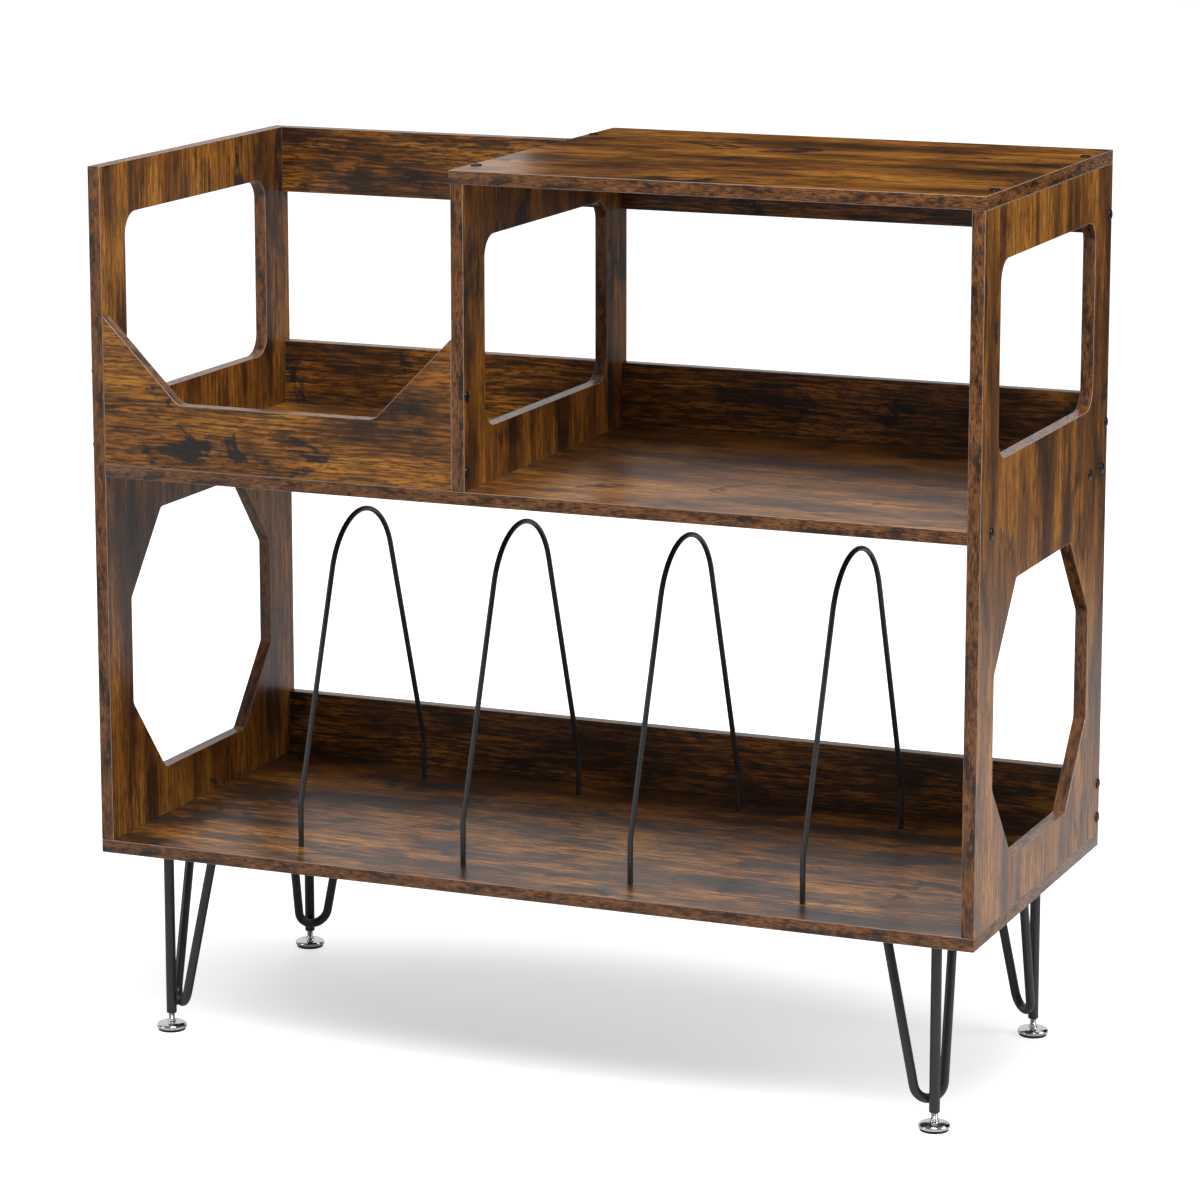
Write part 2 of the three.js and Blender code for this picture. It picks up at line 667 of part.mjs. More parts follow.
function padGeometry() {
  const radius = PAD_DIAMETER / 2;
  const spigotTop = PAD_THICKNESS + SPIGOT_HEIGHT;
  return geometryOf(turnedSolid([
    [0, 0],
    [radius - PAD_CHAMFER, 0],
    [radius, PAD_CHAMFER],
    [radius, PAD_THICKNESS],
    [SPIGOT_DIAMETER / 2, PAD_THICKNESS],
    [SPIGOT_DIAMETER / 2, spigotTop],
    [0, spigotTop],
  ], FOOT_SIDES));
}

// Every leg is the same, turned by quarters so that its bent rod points inwards.
function addLegs(stand) {
  const shapes = {
    leg_plate: plateGeometry(),
    leg_post: postGeometry(),
    leg_rod: rodGeometry(),
    levelling_foot: footGeometry(),
    foot_pad: padGeometry(),
  };
  const corners = [
    ['front_left', -legX, -legY, 0],
    ['front_right', legX, -legY, 1],
    ['back_right', legX, legY, 2],
    ['back_left', -legX, legY, 3],
  ];
  for (const [corner, x, y, quarters] of corners) {
    const leg = new THREE.Group();
    leg.position.set(x, y, baseUnderside);
    leg.rotation.z = (quarters * Math.PI) / 2;
    const foot = namedMesh(`levelling_foot_${corner}`, shapes.levelling_foot, chromeSteel());
    const pad = namedMesh(`foot_pad_${corner}`, shapes.foot_pad, blackRubber());
    foot.position.z = -baseUnderside;
    pad.position.z = -baseUnderside;
    leg.add(
      namedMesh(`leg_plate_${corner}`, shapes.leg_plate, blackSteel()),
      namedMesh(`leg_post_${corner}`, shapes.leg_post, blackSteel()),
      namedMesh(`leg_rod_${corner}`, shapes.leg_rod, blackSteel()),
      foot,
      pad,
    );
    stand.add(leg);
  }
}

// -------------------------------------------------------------------------- assembly

const stand = new THREE.Group();
stand.name = 'record_storage_stand';
addBoards(stand);
addWires(stand);
addScrews(stand);
addLegs(stand);

export default stand;
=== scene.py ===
# %% [markdown]
# # A record storage stand
# The object is a knock-down stand: brown melamine boards screwed edge to face, four bent
# wire dividers that stand in blind holes, and four steel legs on levelling feet. The packed
# model gives every piece its real place and its joint. This lesson dresses those pieces,
# with the CAD boxes as the only measure, so that nothing has to be fitted by eye.

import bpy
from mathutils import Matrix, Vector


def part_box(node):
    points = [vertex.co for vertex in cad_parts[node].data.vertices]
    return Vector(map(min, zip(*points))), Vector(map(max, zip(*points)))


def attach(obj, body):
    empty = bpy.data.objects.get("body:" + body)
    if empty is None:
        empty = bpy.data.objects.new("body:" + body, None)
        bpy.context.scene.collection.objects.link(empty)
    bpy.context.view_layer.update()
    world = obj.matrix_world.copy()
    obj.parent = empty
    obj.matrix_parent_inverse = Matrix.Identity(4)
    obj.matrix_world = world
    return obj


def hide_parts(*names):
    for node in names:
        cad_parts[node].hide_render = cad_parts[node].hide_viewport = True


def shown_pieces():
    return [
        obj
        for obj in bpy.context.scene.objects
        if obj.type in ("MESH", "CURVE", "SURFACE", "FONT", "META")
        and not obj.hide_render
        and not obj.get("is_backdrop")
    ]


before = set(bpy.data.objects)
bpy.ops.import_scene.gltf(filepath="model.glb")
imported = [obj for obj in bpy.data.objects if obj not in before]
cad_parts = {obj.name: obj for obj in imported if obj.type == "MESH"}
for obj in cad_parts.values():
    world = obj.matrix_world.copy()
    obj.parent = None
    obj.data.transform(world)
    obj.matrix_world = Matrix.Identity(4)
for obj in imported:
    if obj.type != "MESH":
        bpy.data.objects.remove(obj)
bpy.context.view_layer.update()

# %% [markdown]
# Everything below is metres in Blender, but a maker thinks of boards in millimetres, so
# sizes are written as a number of millimetres times `MM`. The planes that several pieces
# share are read from the CAD boxes once and then used by name.

# %% Units and shared planes
import bmesh
import bpy
import numpy as np
from mathutils import Vector
from mathutils.geometry import tessellate_polygon

MM = 0.001
TURN = 2 * np.pi
X, Y, Z = 0, 1, 2


def cad_box(node):
    """The lowest and the highest corner of a CAD node, as two arrays."""
    low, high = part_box(node)
    return np.array(low), np.array(high)


def others(axis):
    """The two other axes, in the order that makes a right-hand set."""
    return [(axis + 1) % 3, (axis + 2) % 3]


def new_object(name, data):
    """An object in the scene that shows a mesh, a lamp or a camera."""
    made = bpy.data.objects.new(name, data)
    bpy.context.scene.collection.objects.link(made)
    return made


def aimed(name, data, at, direction):
    """A lamp or a camera at a place, looking in a direction."""
    made = new_object(name, data)
    made.location = at
    made.rotation_euler = Vector(direction).to_track_quat("-Z", "Y").to_euler()
    return made


(_, stand_front, base_underside), (_, stand_back, base_top) = cad_box("bottom_board")
shelf_underside, shelf_top = [corner[Z] for corner in cad_box("middle_shelf")]
panel_top = cad_box("top_board")[0][Z]
print("bay", round((shelf_underside - base_top) / MM, 1), "mm high; upper storey",
      round((panel_top - shelf_top) / MM, 1), "mm high")

# %% [markdown]
# ## The camera
# The stand is seen from the front right, slightly from above, through a long lens. Its
# upright edges run almost parallel, because the product photographer kept the camera level
# and shifted the lens down. Only a little of that shift is used here, so that the stand
# stays in the frame from every other side too. The angles come from fitting about seventy
# corners of the stand to where they lie in the picture.

# %% Camera
AZIMUTH, ELEVATION = np.radians(22.553), np.radians(10.965)
DISTANCE = 4023.0 * MM
FOCUS = np.array([0.2, -4.2, 501.2]) * MM
away = np.array([np.sin(AZIMUTH) * np.cos(ELEVATION), -np.cos(AZIMUTH) * np.cos(ELEVATION),
                 np.sin(ELEVATION)])
lens = bpy.data.cameras.new("product_lens")
lens.lens, lens.sensor_width, lens.shift_y = 132.80, 36.0, -0.08
lens.clip_end = 100.0
camera = aimed("product_camera", lens, FOCUS + DISTANCE * away, -away)
bpy.context.scene.camera = camera
bpy.context.scene.view_settings.view_transform = "Standard"
print("camera at", [round(v, 3) for v in camera.location])

# %% [markdown]
# ## Shader maths
# A finish is built from nodes, but sums and products read better as Python. `Shade` wraps
# one socket, and each operator adds one Math node. Every other node comes from `node`,
# which takes its type, its settings and then its sockets. Colours are never put through a
# Math node, because that would turn them grey: `mixed` does that work.

# %% The Shade class


class Shade:
    """One output of a node tree, which can be added to, multiplied and given to a node."""

    def __init__(self, tree, socket=None):
        self.tree = tree
        self.socket = socket

    def node(self, kind, settings={}, sockets={}, output=0):
        """Adds a node: its settings first, then values or links for its sockets."""
        made = self.tree.nodes.new(kind)
        for name, value in settings.items():
            setattr(made, name, value)
        for name, value in sockets.items():
            if isinstance(value, Shade):
                self.tree.links.new(value.socket, made.inputs[name])
            else:
                made.inputs[name].default_value = value
        return Shade(self.tree, made.outputs[output] if made.outputs else None)

    def math(self, operation, *terms, kind="ShaderNodeMath", output=0):
        return self.node(kind, {"operation": operation}, dict(enumerate(terms)), output)

    def vector(self, operation, *terms, output=0):
        return self.math(operation, *terms, kind="ShaderNodeVectorMath", output=output)

    def __add__(self, other):
        return self.math("ADD", self, other)

    __radd__ = __add__

    def __sub__(self, other):
        return self.math("SUBTRACT", self, other)

    def __rsub__(self, other):
        return self.math("SUBTRACT", other, self)

    def __mul__(self, other):
        return self.math("MULTIPLY", self, other)

    __rmul__ = __mul__

    def eased(self, low, high):
        """0 below low, 1 above high, and a smooth S between them."""
        return self.node("ShaderNodeMapRange", {"interpolation_type": "SMOOTHSTEP"},
                         {"Value": self, "From Min": low, "From Max": high})

    def stretched(self, stretch):
        """A position with each of its axes multiplied by its own number."""
        return self.vector("MULTIPLY", self, stretch)

    def noise(self, stretch, detail=2.0, roughness=0.5, distortion=0.0, output=0):
        """Noise with stretch[i] blots to the metre along axis i."""
        return self.node("ShaderNodeTexNoise", {}, {
            "Vector": self.stretched(stretch), "Scale": 1.0, "Detail": detail,
            "Roughness": roughness, "Distortion": distortion}, output)

    def along(self, axis):
        """One of a position's three numbers."""
        return self.node("ShaderNodeSeparateXYZ", {}, {0: self}, axis)

    def bumped(self, strength, depth):
        """The normals of a relief that is this value times the depth high."""
        return self.node("ShaderNodeBump", {}, {"Strength": strength, "Distance": depth,
                                                "Height": self})


def mixed(mask, under, over):
    """The colour `over` laid on `under` as far as the mask, which is from 0 to 1, says."""
    return mask.node("ShaderNodeMix", {"data_type": "RGBA"}, {0: mask, 6: under, 7: over}, 2)


def new_finish(name):
    """An empty material and its tree as a Shade."""
    material = bpy.data.materials.new(name)
    material.use_nodes = True
    material.node_tree.nodes.clear()
    return material, Shade(material.node_tree)


def principled(tree, sockets):
    """Closes a material with one Principled shader on its output."""
    shader = tree.node("ShaderNodeBsdfPrincipled", {}, sockets)
    tree.node("ShaderNodeOutputMaterial", {"target": "ALL"}, {"Surface": shader})


def place(tree):
    """The point's place in the stand's own frame, in metres."""
    return tree.node("ShaderNodeTexCoord", output=3)


print("shader helper ready")

# %% [markdown]
# ## Studio
# A big soft box stands high in front of the stand, steep enough to leave the back of each
# compartment dark, and a smaller one lights the right side. A weak one behind the stand
# meets no mirrored ray, so it lights the back without a glare on the film. The tall strip on
# the left is the opposite: it shows in reflections only. The room itself only fills the
# shadows. The camera sees pure white behind the stand, and a mirrored ray that runs
# backwards sees most of it, but one that runs forwards meets the dark studio behind the
# camera: that gives the boards a pale sheen at a low angle and deep browns face on.

# %% Room and lamps
WALL, MIRRORED_WALL = 1.0, 0.72
DARK_STUDIO = 0.17
ROOM_FILL = 0.26
LIGHT_PATH, TO_CAMERA, MIRRORED = "ShaderNodeLightPath", 0, 3  # and two of its outputs
STAND_MIDDLE = (0.0, 0.0, 0.5)
STRIP_HEIGHT = 1.5

world = bpy.data.worlds.new("white_room")
bpy.context.scene.world = world
world.use_nodes = True
world.node_tree.nodes.clear()
room = Shade(world.node_tree)
to_camera = room.node(LIGHT_PATH, output=TO_CAMERA)
mirrored = room.node(LIGHT_PATH, output=MIRRORED)
backwards = room.node("ShaderNodeTexCoord").along(Y).eased(-0.1, 0.3)
reflected = backwards * (MIRRORED_WALL - DARK_STUDIO) + DARK_STUDIO
strength = to_camera * WALL + mirrored * reflected + (1 - to_camera - mirrored) * ROOM_FILL
glow = room.node("ShaderNodeBackground", {}, {"Color": (1, 1, 1, 1), "Strength": strength})
room.node("ShaderNodeOutputWorld", {}, {"Surface": glow})


def soft_box(name, at, towards, size, watts):
    """A square area lamp at one place that looks towards another."""
    lamp = bpy.data.lights.new(name, "AREA")
    lamp.size, lamp.energy = size, watts
    return aimed(name, lamp, at, Vector(towards) - Vector(at))


soft_box("front_box", (0.7, -1.35, 3.1), STAND_MIDDLE, 1.5, 88.0)
soft_box("right_box", (3.2, 0.2, 1.9), STAND_MIDDLE, 1.4, 42.0)
soft_box("back_box", (-1.3, 2.4, 2.0), STAND_MIDDLE, 1.8, 20.0).visible_glossy = False
tall_strip = soft_box("left_strip", (-2.3, -1.9, 0.9), (0.0, 0.0, 0.4), 0.35, 12.0)
tall_strip.data.shape, tall_strip.data.size_y = "RECTANGLE", STRIP_HEIGHT
tall_strip.visible_diffuse = False

# %% [markdown]
# The floor is white paper that keeps the soft shadow. A part of its light is a glow that the
# camera sees, and reflections a little, behind the stand. The glow is weaker in an ellipse
# round the stand's shadow, which paints shade there, and grows with the distance from it, so the
# paper runs into the white wall without an edge.
# Two black cards stand out of sight behind the stand, as a photographer sets them: without
# them, the top board and the upper right side would mirror the white wall and go pale.

# %% Floor and black cards
FLOOR_HALF = 12.0
# the glow near the stand is less than far off: painted shade round the stand's shadow
GLOW_IN_PAINTED_SHADE, GLOW_FAR, GLOW_MIRRORED = 0.54, 1.0, 0.15
# the middle and half sizes of the ellipse of painted shade, where the glow is weakest
PAINTED_SHADE_MIDDLE, PAINTED_SHADE_HALF_X, PAINTED_SHADE_HALF_Y = 50 * MM, 0.52, 0.24
# a card's Y, its X from and to, its Z from and to
CARDS = {"top": (0.3, -0.204, 1.0, 0.826, 1.8), "right": (2.0, 0.6, 4.0, 0.0, 2.4)}


def flat_sheet(name, corners):
    """A stage sheet from its corners, seen edge to edge, with its face as they turn."""
    mesh = bpy.data.meshes.new(name)
    mesh.from_pydata(corners, [], [range(len(corners))])
    sheet = new_object(name, mesh)
    sheet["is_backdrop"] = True
    return sheet


paper = flat_sheet("paper_floor", [(x * FLOOR_HALF, y * FLOOR_HALF, 0) for x, y in
                                   ((-1, -1), (1, -1), (1, 1), (-1, 1))])
white_paper, tree = new_finish("white_paper")
matt = tree.node("ShaderNodeBsdfDiffuse", {}, {"Color": (0.60, 0.60, 0.60, 1)})
below = tree.vector("SUBTRACT", place(tree), (0, PAINTED_SHADE_MIDDLE, 0))
below = below.stretched((1 / PAINTED_SHADE_HALF_X, 1 / PAINTED_SHADE_HALF_Y, 1))
from_shade_middle = tree.vector("LENGTH", below, output=1)
# less glow near the stand, more far off: painted shade round its shadow
glow_with_painted_shade = from_shade_middle.eased(0.45, 1.35) * (GLOW_FAR - GLOW_IN_PAINTED_SHADE) + GLOW_IN_PAINTED_SHADE
behind = place(tree).along(Y).eased(-0.2, 0.8)
glow = (tree.node(LIGHT_PATH, output=TO_CAMERA)
        + tree.node(LIGHT_PATH, output=MIRRORED) * behind * GLOW_MIRRORED) * glow_with_painted_shade
lit = tree.node("ShaderNodeEmission", {}, {"Color": (1, 1, 1, 1), "Strength": glow})
both = tree.node("ShaderNodeAddShader", {}, {0: matt, 1: lit})
tree.node("ShaderNodeOutputMaterial", {}, {"Surface": both})
paper.data.materials.append(white_paper)

cards = [flat_sheet("black_card_" + where, [(x0, y, z0), (x1, y, z0), (x1, y, z1), (x0, y, z1)])
         for where, (y, x0, x1, z0, z1) in CARDS.items()]
black_card, tree = new_finish("black_card")
dull = tree.node("ShaderNodeBsdfDiffuse", {}, {"Color": (0.002, 0.002, 0.002, 1)})
tree.node("ShaderNodeOutputMaterial", {}, {"Surface": dull})
for card in cards:
    card.data.materials.append(black_card)
    card.visible_camera = card.visible_diffuse = card.visible_shadow = False
print("stage:", paper.name, [card.name for card in cards])

# %% [markdown]
# ## Brown melamine
# Each board is particle board under a printed melamine face that looks like old timber:
# golden and dark brown streaks along the grain, wavy growth lines, dark patches as wide as
# a thumb, ragged charcoal clouds, and short dark pores over everything, all under one
# satin film that is pressed with the same lines. An image could be wrapped round each
# board, but noise in the stand's own coordinates needs no unwrapping and never repeats.
# The grain is the same noise, stretched far along one axis: upright on the sides and the
# divider, lengthways everywhere else.

# %% Board face finish
GOLD = (0.570, 0.228, 0.029, 1)
AMBER = (0.340, 0.120, 0.016, 1)
UMBER = (0.095, 0.037, 0.012, 1)
SOOT = (0.020, 0.012, 0.008, 1)
CHARCOAL = (0.014, 0.013, 0.014, 1)


def along_grain(grain, along, across):
    """Blots to the metre on each axis: few along the grain, many across it."""
    counts = [across] * 3
    counts[grain] = along
    return counts


def melamine(name, grain, wave, streaky, growth, fibre, patch, depth, cloud):
    """wave bends the grain sideways, streaky is the share of straight streaks in its golden
    and brown tones, growth, fibre and depth are how plain its growth lines, its fine dark
    lines and its dark patches are, and patch and cloud say from and to which value of their
    noise the patches and the charcoal set in."""
    material, tree = new_finish(name)
    straight = place(tree)
    push = straight.noise(along_grain(grain, 7, 20), detail=1.0, output=1)
    push = tree.vector("SUBTRACT", push, (0.5, 0.5, 0.5))
    spot = tree.vector("ADD", straight, push.stretched(along_grain(grain, 0, wave)))
    streaks = spot.noise(along_grain(grain, 3.5, 32), detail=4.0, roughness=0.55)
    drifts = spot.noise(along_grain(grain, 8, 18), detail=5.0, roughness=0.58, distortion=0.3)
    hills = spot.noise(along_grain(grain, 2.5, 11), detail=1.0)
    lines = spot.noise(along_grain(grain, 17, 400), detail=2.0, roughness=0.60)
    pores = spot.noise(along_grain(grain, 75, 640), detail=2.0, roughness=0.6)
    patches = straight.noise(along_grain(grain, 12, 24), detail=6.0, roughness=0.62,
                             distortion=0.5)
    clouds = straight.noise(along_grain(grain, 12, 17), detail=7.0, roughness=0.62,
                            distortion=0.8)

    tone = streaks * streaky + drifts * (1 - streaky)
    colour = mixed(tone.eased(0.37, 0.53), UMBER, AMBER)
    colour = mixed(tone.eased(0.47, 0.63), colour, GOLD)
    ring = (hills * 24 + lines) * TURN
    ring = ring.math("SINE", ring) * 0.5 + 0.5
    colour = mixed(ring.eased(0.35, 0.95) * growth, colour, SOOT)
    dark_line = lines.eased(0.44, 0.58)
    colour = mixed(dark_line * fibre, colour, SOOT)
    colour = mixed(pores.eased(0.48, 0.60) * fibre, colour, SOOT)
    shade = (patches + (lines - 0.5) * 0.25 - (tone - 0.5) * 0.4).eased(*patch)
    colour = mixed(shade * depth, colour, SOOT)
    smoke = (clouds + (lines - 0.5) * 0.14).eased(*cloud)
    colour = mixed(smoke * 0.92, colour, CHARCOAL)
    principled(tree, {"Base Color": colour, "Roughness": 0.27 + lines * 0.10 + smoke * 0.03,
                      "Normal": (1 - dark_line).bumped(0.30, 0.05 * MM)})
    return material


UPRIGHT_FACE, LEVEL_FACE, BASE_FACE_PAINTED_SHADE, STRIP_FACE = (
    melamine(f"melamine_{name}_grain", *row) for name, *row in (
        # grain, wave, streaky, growth, fibre, patch, depth, cloud
        ("upright", Z, 3 * MM, 0.65, 0.10, 0.55, (0.52, 0.66), 0.74, (0.61, 0.68)),
        ("level", X, 6 * MM, 0.40, 0.22, 0.62, (0.55, 0.68), 0.78, (0.58, 0.645)),
        # base: the level melamine with more dark patches and charcoal, painted shade for the
        # bottom board under the shelf
        ("base", X, 6 * MM, 0.40, 0.20, 0.66, (0.44, 0.60), 0.78, (0.575, 0.65)),
        ("strip", X, 9 * MM, 0.45, 0.36, 0.72, (0.545, 0.685), 0.76, (0.59, 0.66))))
print("finishes:", [m.name for m in bpy.data.materials])

# %% [markdown]
# ## Edge band and raw core
# A board's cut edge is covered with a thin glued band in a redder brown, speckled dark
# along its length. Along both borders where it is cut flush with the face, a hair of paler
# colour is painted: partly the plastic's own paler corner, partly a painted highlight along
# the arris. The band runs round corners and cut-outs, so its pattern follows the piece's own
# UV map: metres along the edge, and metres across it from the middle. Inside the drilled
# holes the core is bare: pale pressed chips.

# %% Edge band finish
BAND_BROWN = (0.110, 0.042, 0.016, 1)
BAND_RED = (0.290, 0.112, 0.032, 1)
BAND_DARK = (0.018, 0.011, 0.008, 1)
# the band's own paler corner and a painted highlight along it, in one colour
BAND_TRIM_AND_HIGHLIGHT = (0.55, 0.40, 0.32, 1)

EDGE_BAND, tree = new_finish("edge_band")
strip_map = tree.node("ShaderNodeUVMap", {"uv_map": "band"})
fibres = strip_map.noise((120, 1100, 1), detail=3.0, roughness=0.7)
patches = strip_map.noise((30, 110, 1), detail=4.0, roughness=0.6)
colour = mixed((patches * 0.5 + fibres * 0.5).eased(0.40, 0.56), BAND_RED, BAND_BROWN)
speckle = fibres.eased(0.48, 0.60)
colour = mixed(speckle * 0.85, colour, BAND_DARK)
colour = mixed((patches + (fibres - 0.5) * 0.4).eased(0.52, 0.64) * 0.8, colour, BAND_DARK)
across = strip_map.along(Y)
# a pale line at both borders of the band: partly its own paler corner, partly a painted
# highlight
pale_line_and_highlight = across.math("ABSOLUTE", across).eased(5.3 * MM, 5.7 * MM)
colour = mixed(pale_line_and_highlight * (0.15 + patches * 0.6), colour, BAND_TRIM_AND_HIGHLIGHT)
principled(tree, {"Base Color": colour, "Roughness": 0.24 + speckle * 0.14,
                  "Normal": (1 - speckle).bumped(0.3, 0.06 * MM)})

RAW_CORE, tree = new_finish("raw_particle_board")
chips = place(tree).noise((700, 700, 500), detail=3.0)
principled(tree, {"Base Color": mixed(chips.eased(0.40, 0.65), (0.46, 0.31, 0.17, 1),
                                      (0.20, 0.12, 0.06, 1)),
                  "Roughness": 0.85 + chips * 0.1,
                  "Normal": chips.bumped(0.6, 0.2 * MM)})
print("edge finishes:", EDGE_BAND.name, RAW_CORE.name)

# %% [markdown]
# ## Metal and rubber
# Rods, posts and plates wear a satin black powder coat, which is never mirror smooth: a
# fine orange peel breaks up its highlights. The screws are plainer and glossier black. The
# feet are polished chrome with faint turning marks and a little dulling, and the pads under
# them are matt black rubber. All four vary over the surface, because one flat value on
# metal looks like plastic.

# %% Powder coat, screw black, chrome and rubber
POWDER_COAT, tree = new_finish("satin_black_powder_coat")
peel = place(tree).noise((1500, 1500, 1500), detail=2.0)
drift = place(tree).noise((18, 18, 18), detail=2.0)
principled(tree, {"Base Color": mixed(drift, (0.014, 0.014, 0.015, 1), (0.027, 0.027, 0.028, 1)),
                  "Roughness": 0.32 + peel * 0.14, "Specular IOR Level": 0.7,
                  "Normal": peel.bumped(0.25, 0.05 * MM)})

SCREW_BLACK, tree = new_finish("black_screw")
rub = place(tree).noise((600, 600, 600), detail=3.0)
principled(tree, {"Base Color": mixed(rub.eased(0.5, 0.7), (0.012, 0.012, 0.013, 1),
                                      (0.035, 0.034, 0.034, 1)),
                  "Metallic": 0.35, "Roughness": 0.12 + rub * 0.14})

CHROME, tree = new_finish("polished_chrome")
haze = place(tree).noise((120, 120, 120), detail=3.0)
turning = place(tree).noise((15, 15, 2600), detail=1.0)
principled(tree, {"Base Color": mixed(haze, (0.72, 0.73, 0.75, 1), (0.82, 0.83, 0.85, 1)),
                  "Metallic": 1.0, "Roughness": 0.06 + haze * 0.12,
                  "Normal": turning.bumped(0.06, 0.03 * MM)})

RUBBER, tree = new_finish("matt_black_rubber")
dust = place(tree).noise((260, 260, 260), detail=4.0)
principled(tree, {"Base Color": mixed(dust.eased(0.45, 0.75), (0.016, 0.016, 0.017, 1),
                                      (0.045, 0.044, 0.043, 1)),
                  "Roughness": 0.72 + dust * 0.2,
                  "Normal": dust.bumped(0.4, 0.08 * MM)})
print("finishes:", len(bpy.data.materials))

# %% [markdown]
# ## One rounding rule for everything
# A window's corners, an octagon's, a bent wire and a turned foot's profile are all the same
# thing: straight lines joined by arcs that touch both neighbours. One function makes them
# all, in two or three dimensions: from the arc's centre, the radius swings from the first
# touching point to the second.

# %% Rounded lines


def unit(vectors):
    """Each vector divided by its own length."""
    return vectors / np.linalg.norm(vectors, axis=-1, keepdims=True)


def rounded(corners, radii, step, closed=False):
    """A line of corners, each cut back to an arc of its radius. Between the touching
    directions d0 and d1, a turn apart, the arc is centre + radius * (sin((1-s) turn) d0 +
    sin(s turn) d1) / sin(turn), for s from 0 to 1, a point for each `step` degrees."""
    corners = [np.array(c, float) for c in corners]
    line = []
    for i, corner in enumerate(corners):
        if radii[i] == 0 or (not closed and i in (0, len(corners) - 1)):
            line.append(corner[None])
            continue
        before = unit(corners[i - 1] - corner)
        after = unit(corners[(i + 1) % len(corners)] - corner)
        half = np.arccos(np.clip(before @ after, -1, 1)) / 2
        centre = corner + unit(before + after) * radii[i] / np.sin(half)
        d0 = unit(corner + before * radii[i] / np.tan(half) - centre)
        d1 = unit(corner + after * radii[i] / np.tan(half) - centre)
        turn = np.pi - 2 * half
        s = np.linspace(0, 1, max(3, int(np.degrees(turn) / step) + 1))[:, None]
        line.append(centre + radii[i] * (np.sin((1 - s) * turn) * d0
                                         + np.sin(s * turn) * d1) / np.sin(turn))
    return np.concatenate(line)


def circle(centre, radius, sides=24):
    """A closed round outline, counted anticlockwise."""
    angle = np.arange(sides) * TURN / sides
    return np.array(centre) + radius * np.column_stack([np.cos(angle), np.sin(angle)])


def enclosed(outline):
    """The outline's area by the shoelace sum, above 0 where it runs anticlockwise."""
    ahead = np.roll(outline, -1, axis=0)
    return 0.5 * np.sum(outline[:, 0] * ahead[:, 1] - ahead[:, 0] * outline[:, 1])


print("test circle encloses", round(enclosed(circle((0, 0), 1.0, 96)), 3))

# %% [markdown]
# ## From numbers to pieces
# Points and faces come as whole arrays and go into a mesh in one call each. Neighbouring
# rings of points are joined by quads, found by index arithmetic on the grid. A piece then
# gets its materials, the CAD nodes that it stands for, and the body that it moves with.

# %% Grids, meshes and pieces
SHARP = np.radians(40)  # a bend that is shaded as an edge


def grid_quads(rows, columns, down, across):
    """Four indices for each cell, down by across of them, of a grid of rows by columns points
    that are counted row by row. The cells past the last row or column join on to the first."""
    row, column = np.arange(down)[:, None], np.arange(across)[None, :]
    below, beside = (row + 1) % rows, (column + 1) % columns
    return np.stack([row * columns + column, row * columns + beside, below * columns + beside,
                     below * columns + column], axis=-1).reshape(-1, 4)


def mesh_object(name, points, faces, materials, material_index=None, smooth=None, uv=None):
    """A mesh object from arrays. uv holds two numbers for each corner of each face."""
    mesh = bpy.data.meshes.new(name)
    mesh.from_pydata(np.asarray(points).reshape(-1, 3), [], faces)
    for material in materials:
        mesh.materials.append(material)
    if material_index is not None:
        mesh.polygons.foreach_set("material_index", material_index)
    if uv is not None:
        mesh.uv_layers.new(name="band").data.foreach_set("uv", np.asarray(uv).ravel())
    mesh.set_sharp_from_angle(angle=SHARP)
    if smooth is not None:
        mesh.polygons.foreach_set("use_smooth", smooth)
    mesh.update()
    return new_object(name, mesh)


def belongs(piece, body="root", stands_for=()):
    """Gives a finished piece its body and hides the CAD nodes that it stands for."""
    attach(piece, body)
    if stands_for:
        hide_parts(*stands_for)
    return piece


print("mesh helpers ready")

# %% [markdown]
# ## Boards
# A real board has three surfaces: two pressed faces, a band round every edge, and a tiny
# rounded arris between them, which is what catches the light and tells the eye that the
# board is solid. So each board is an outline with its holes. A profile of the edge, arris
# and all, is carried round each outline, and the two faces are filled in between with
# triangles. A bevel modifier would round the arris too, but it knows nothing of the
# distance along the edge, which the band's pattern needs.

# %% Edge profile and panel builder
ARRIS = 0.5 * MM
SUNK_ARRIS = 0.1 * MM
FACE, BAND, CORE = range(3)  # a board's material slots


def edge_profile(half):
    """From one face to the other: how far in from the outline, and how high above the
    board's middle. Each arris is a quarter circle, with one more row close behind it that
    keeps the edge's flat part flat."""
    swing = np.linspace(0, np.pi / 2, 4)
    upper = np.column_stack([ARRIS * (1 - np.sin(swing)), half - ARRIS * (1 - np.cos(swing))])
    upper = np.vstack([upper, [0, half - 1.4 * ARRIS]])
    return np.vstack([upper, upper[::-1] * [1, -1]])


def outwards(outline):
    """At each corner, the sum of its two edges' normals over 1 plus their product, which
    keeps an edge that is moved along it parallel to itself."""
    ahead = unit(np.roll(outline, -1, axis=0) - outline)
    normal = np.column_stack([ahead[:, 1], -ahead[:, 0]])
    behind = np.roll(normal, 1, axis=0)
    return (normal + behind) / (1 + np.sum(normal * behind, axis=1, keepdims=True))


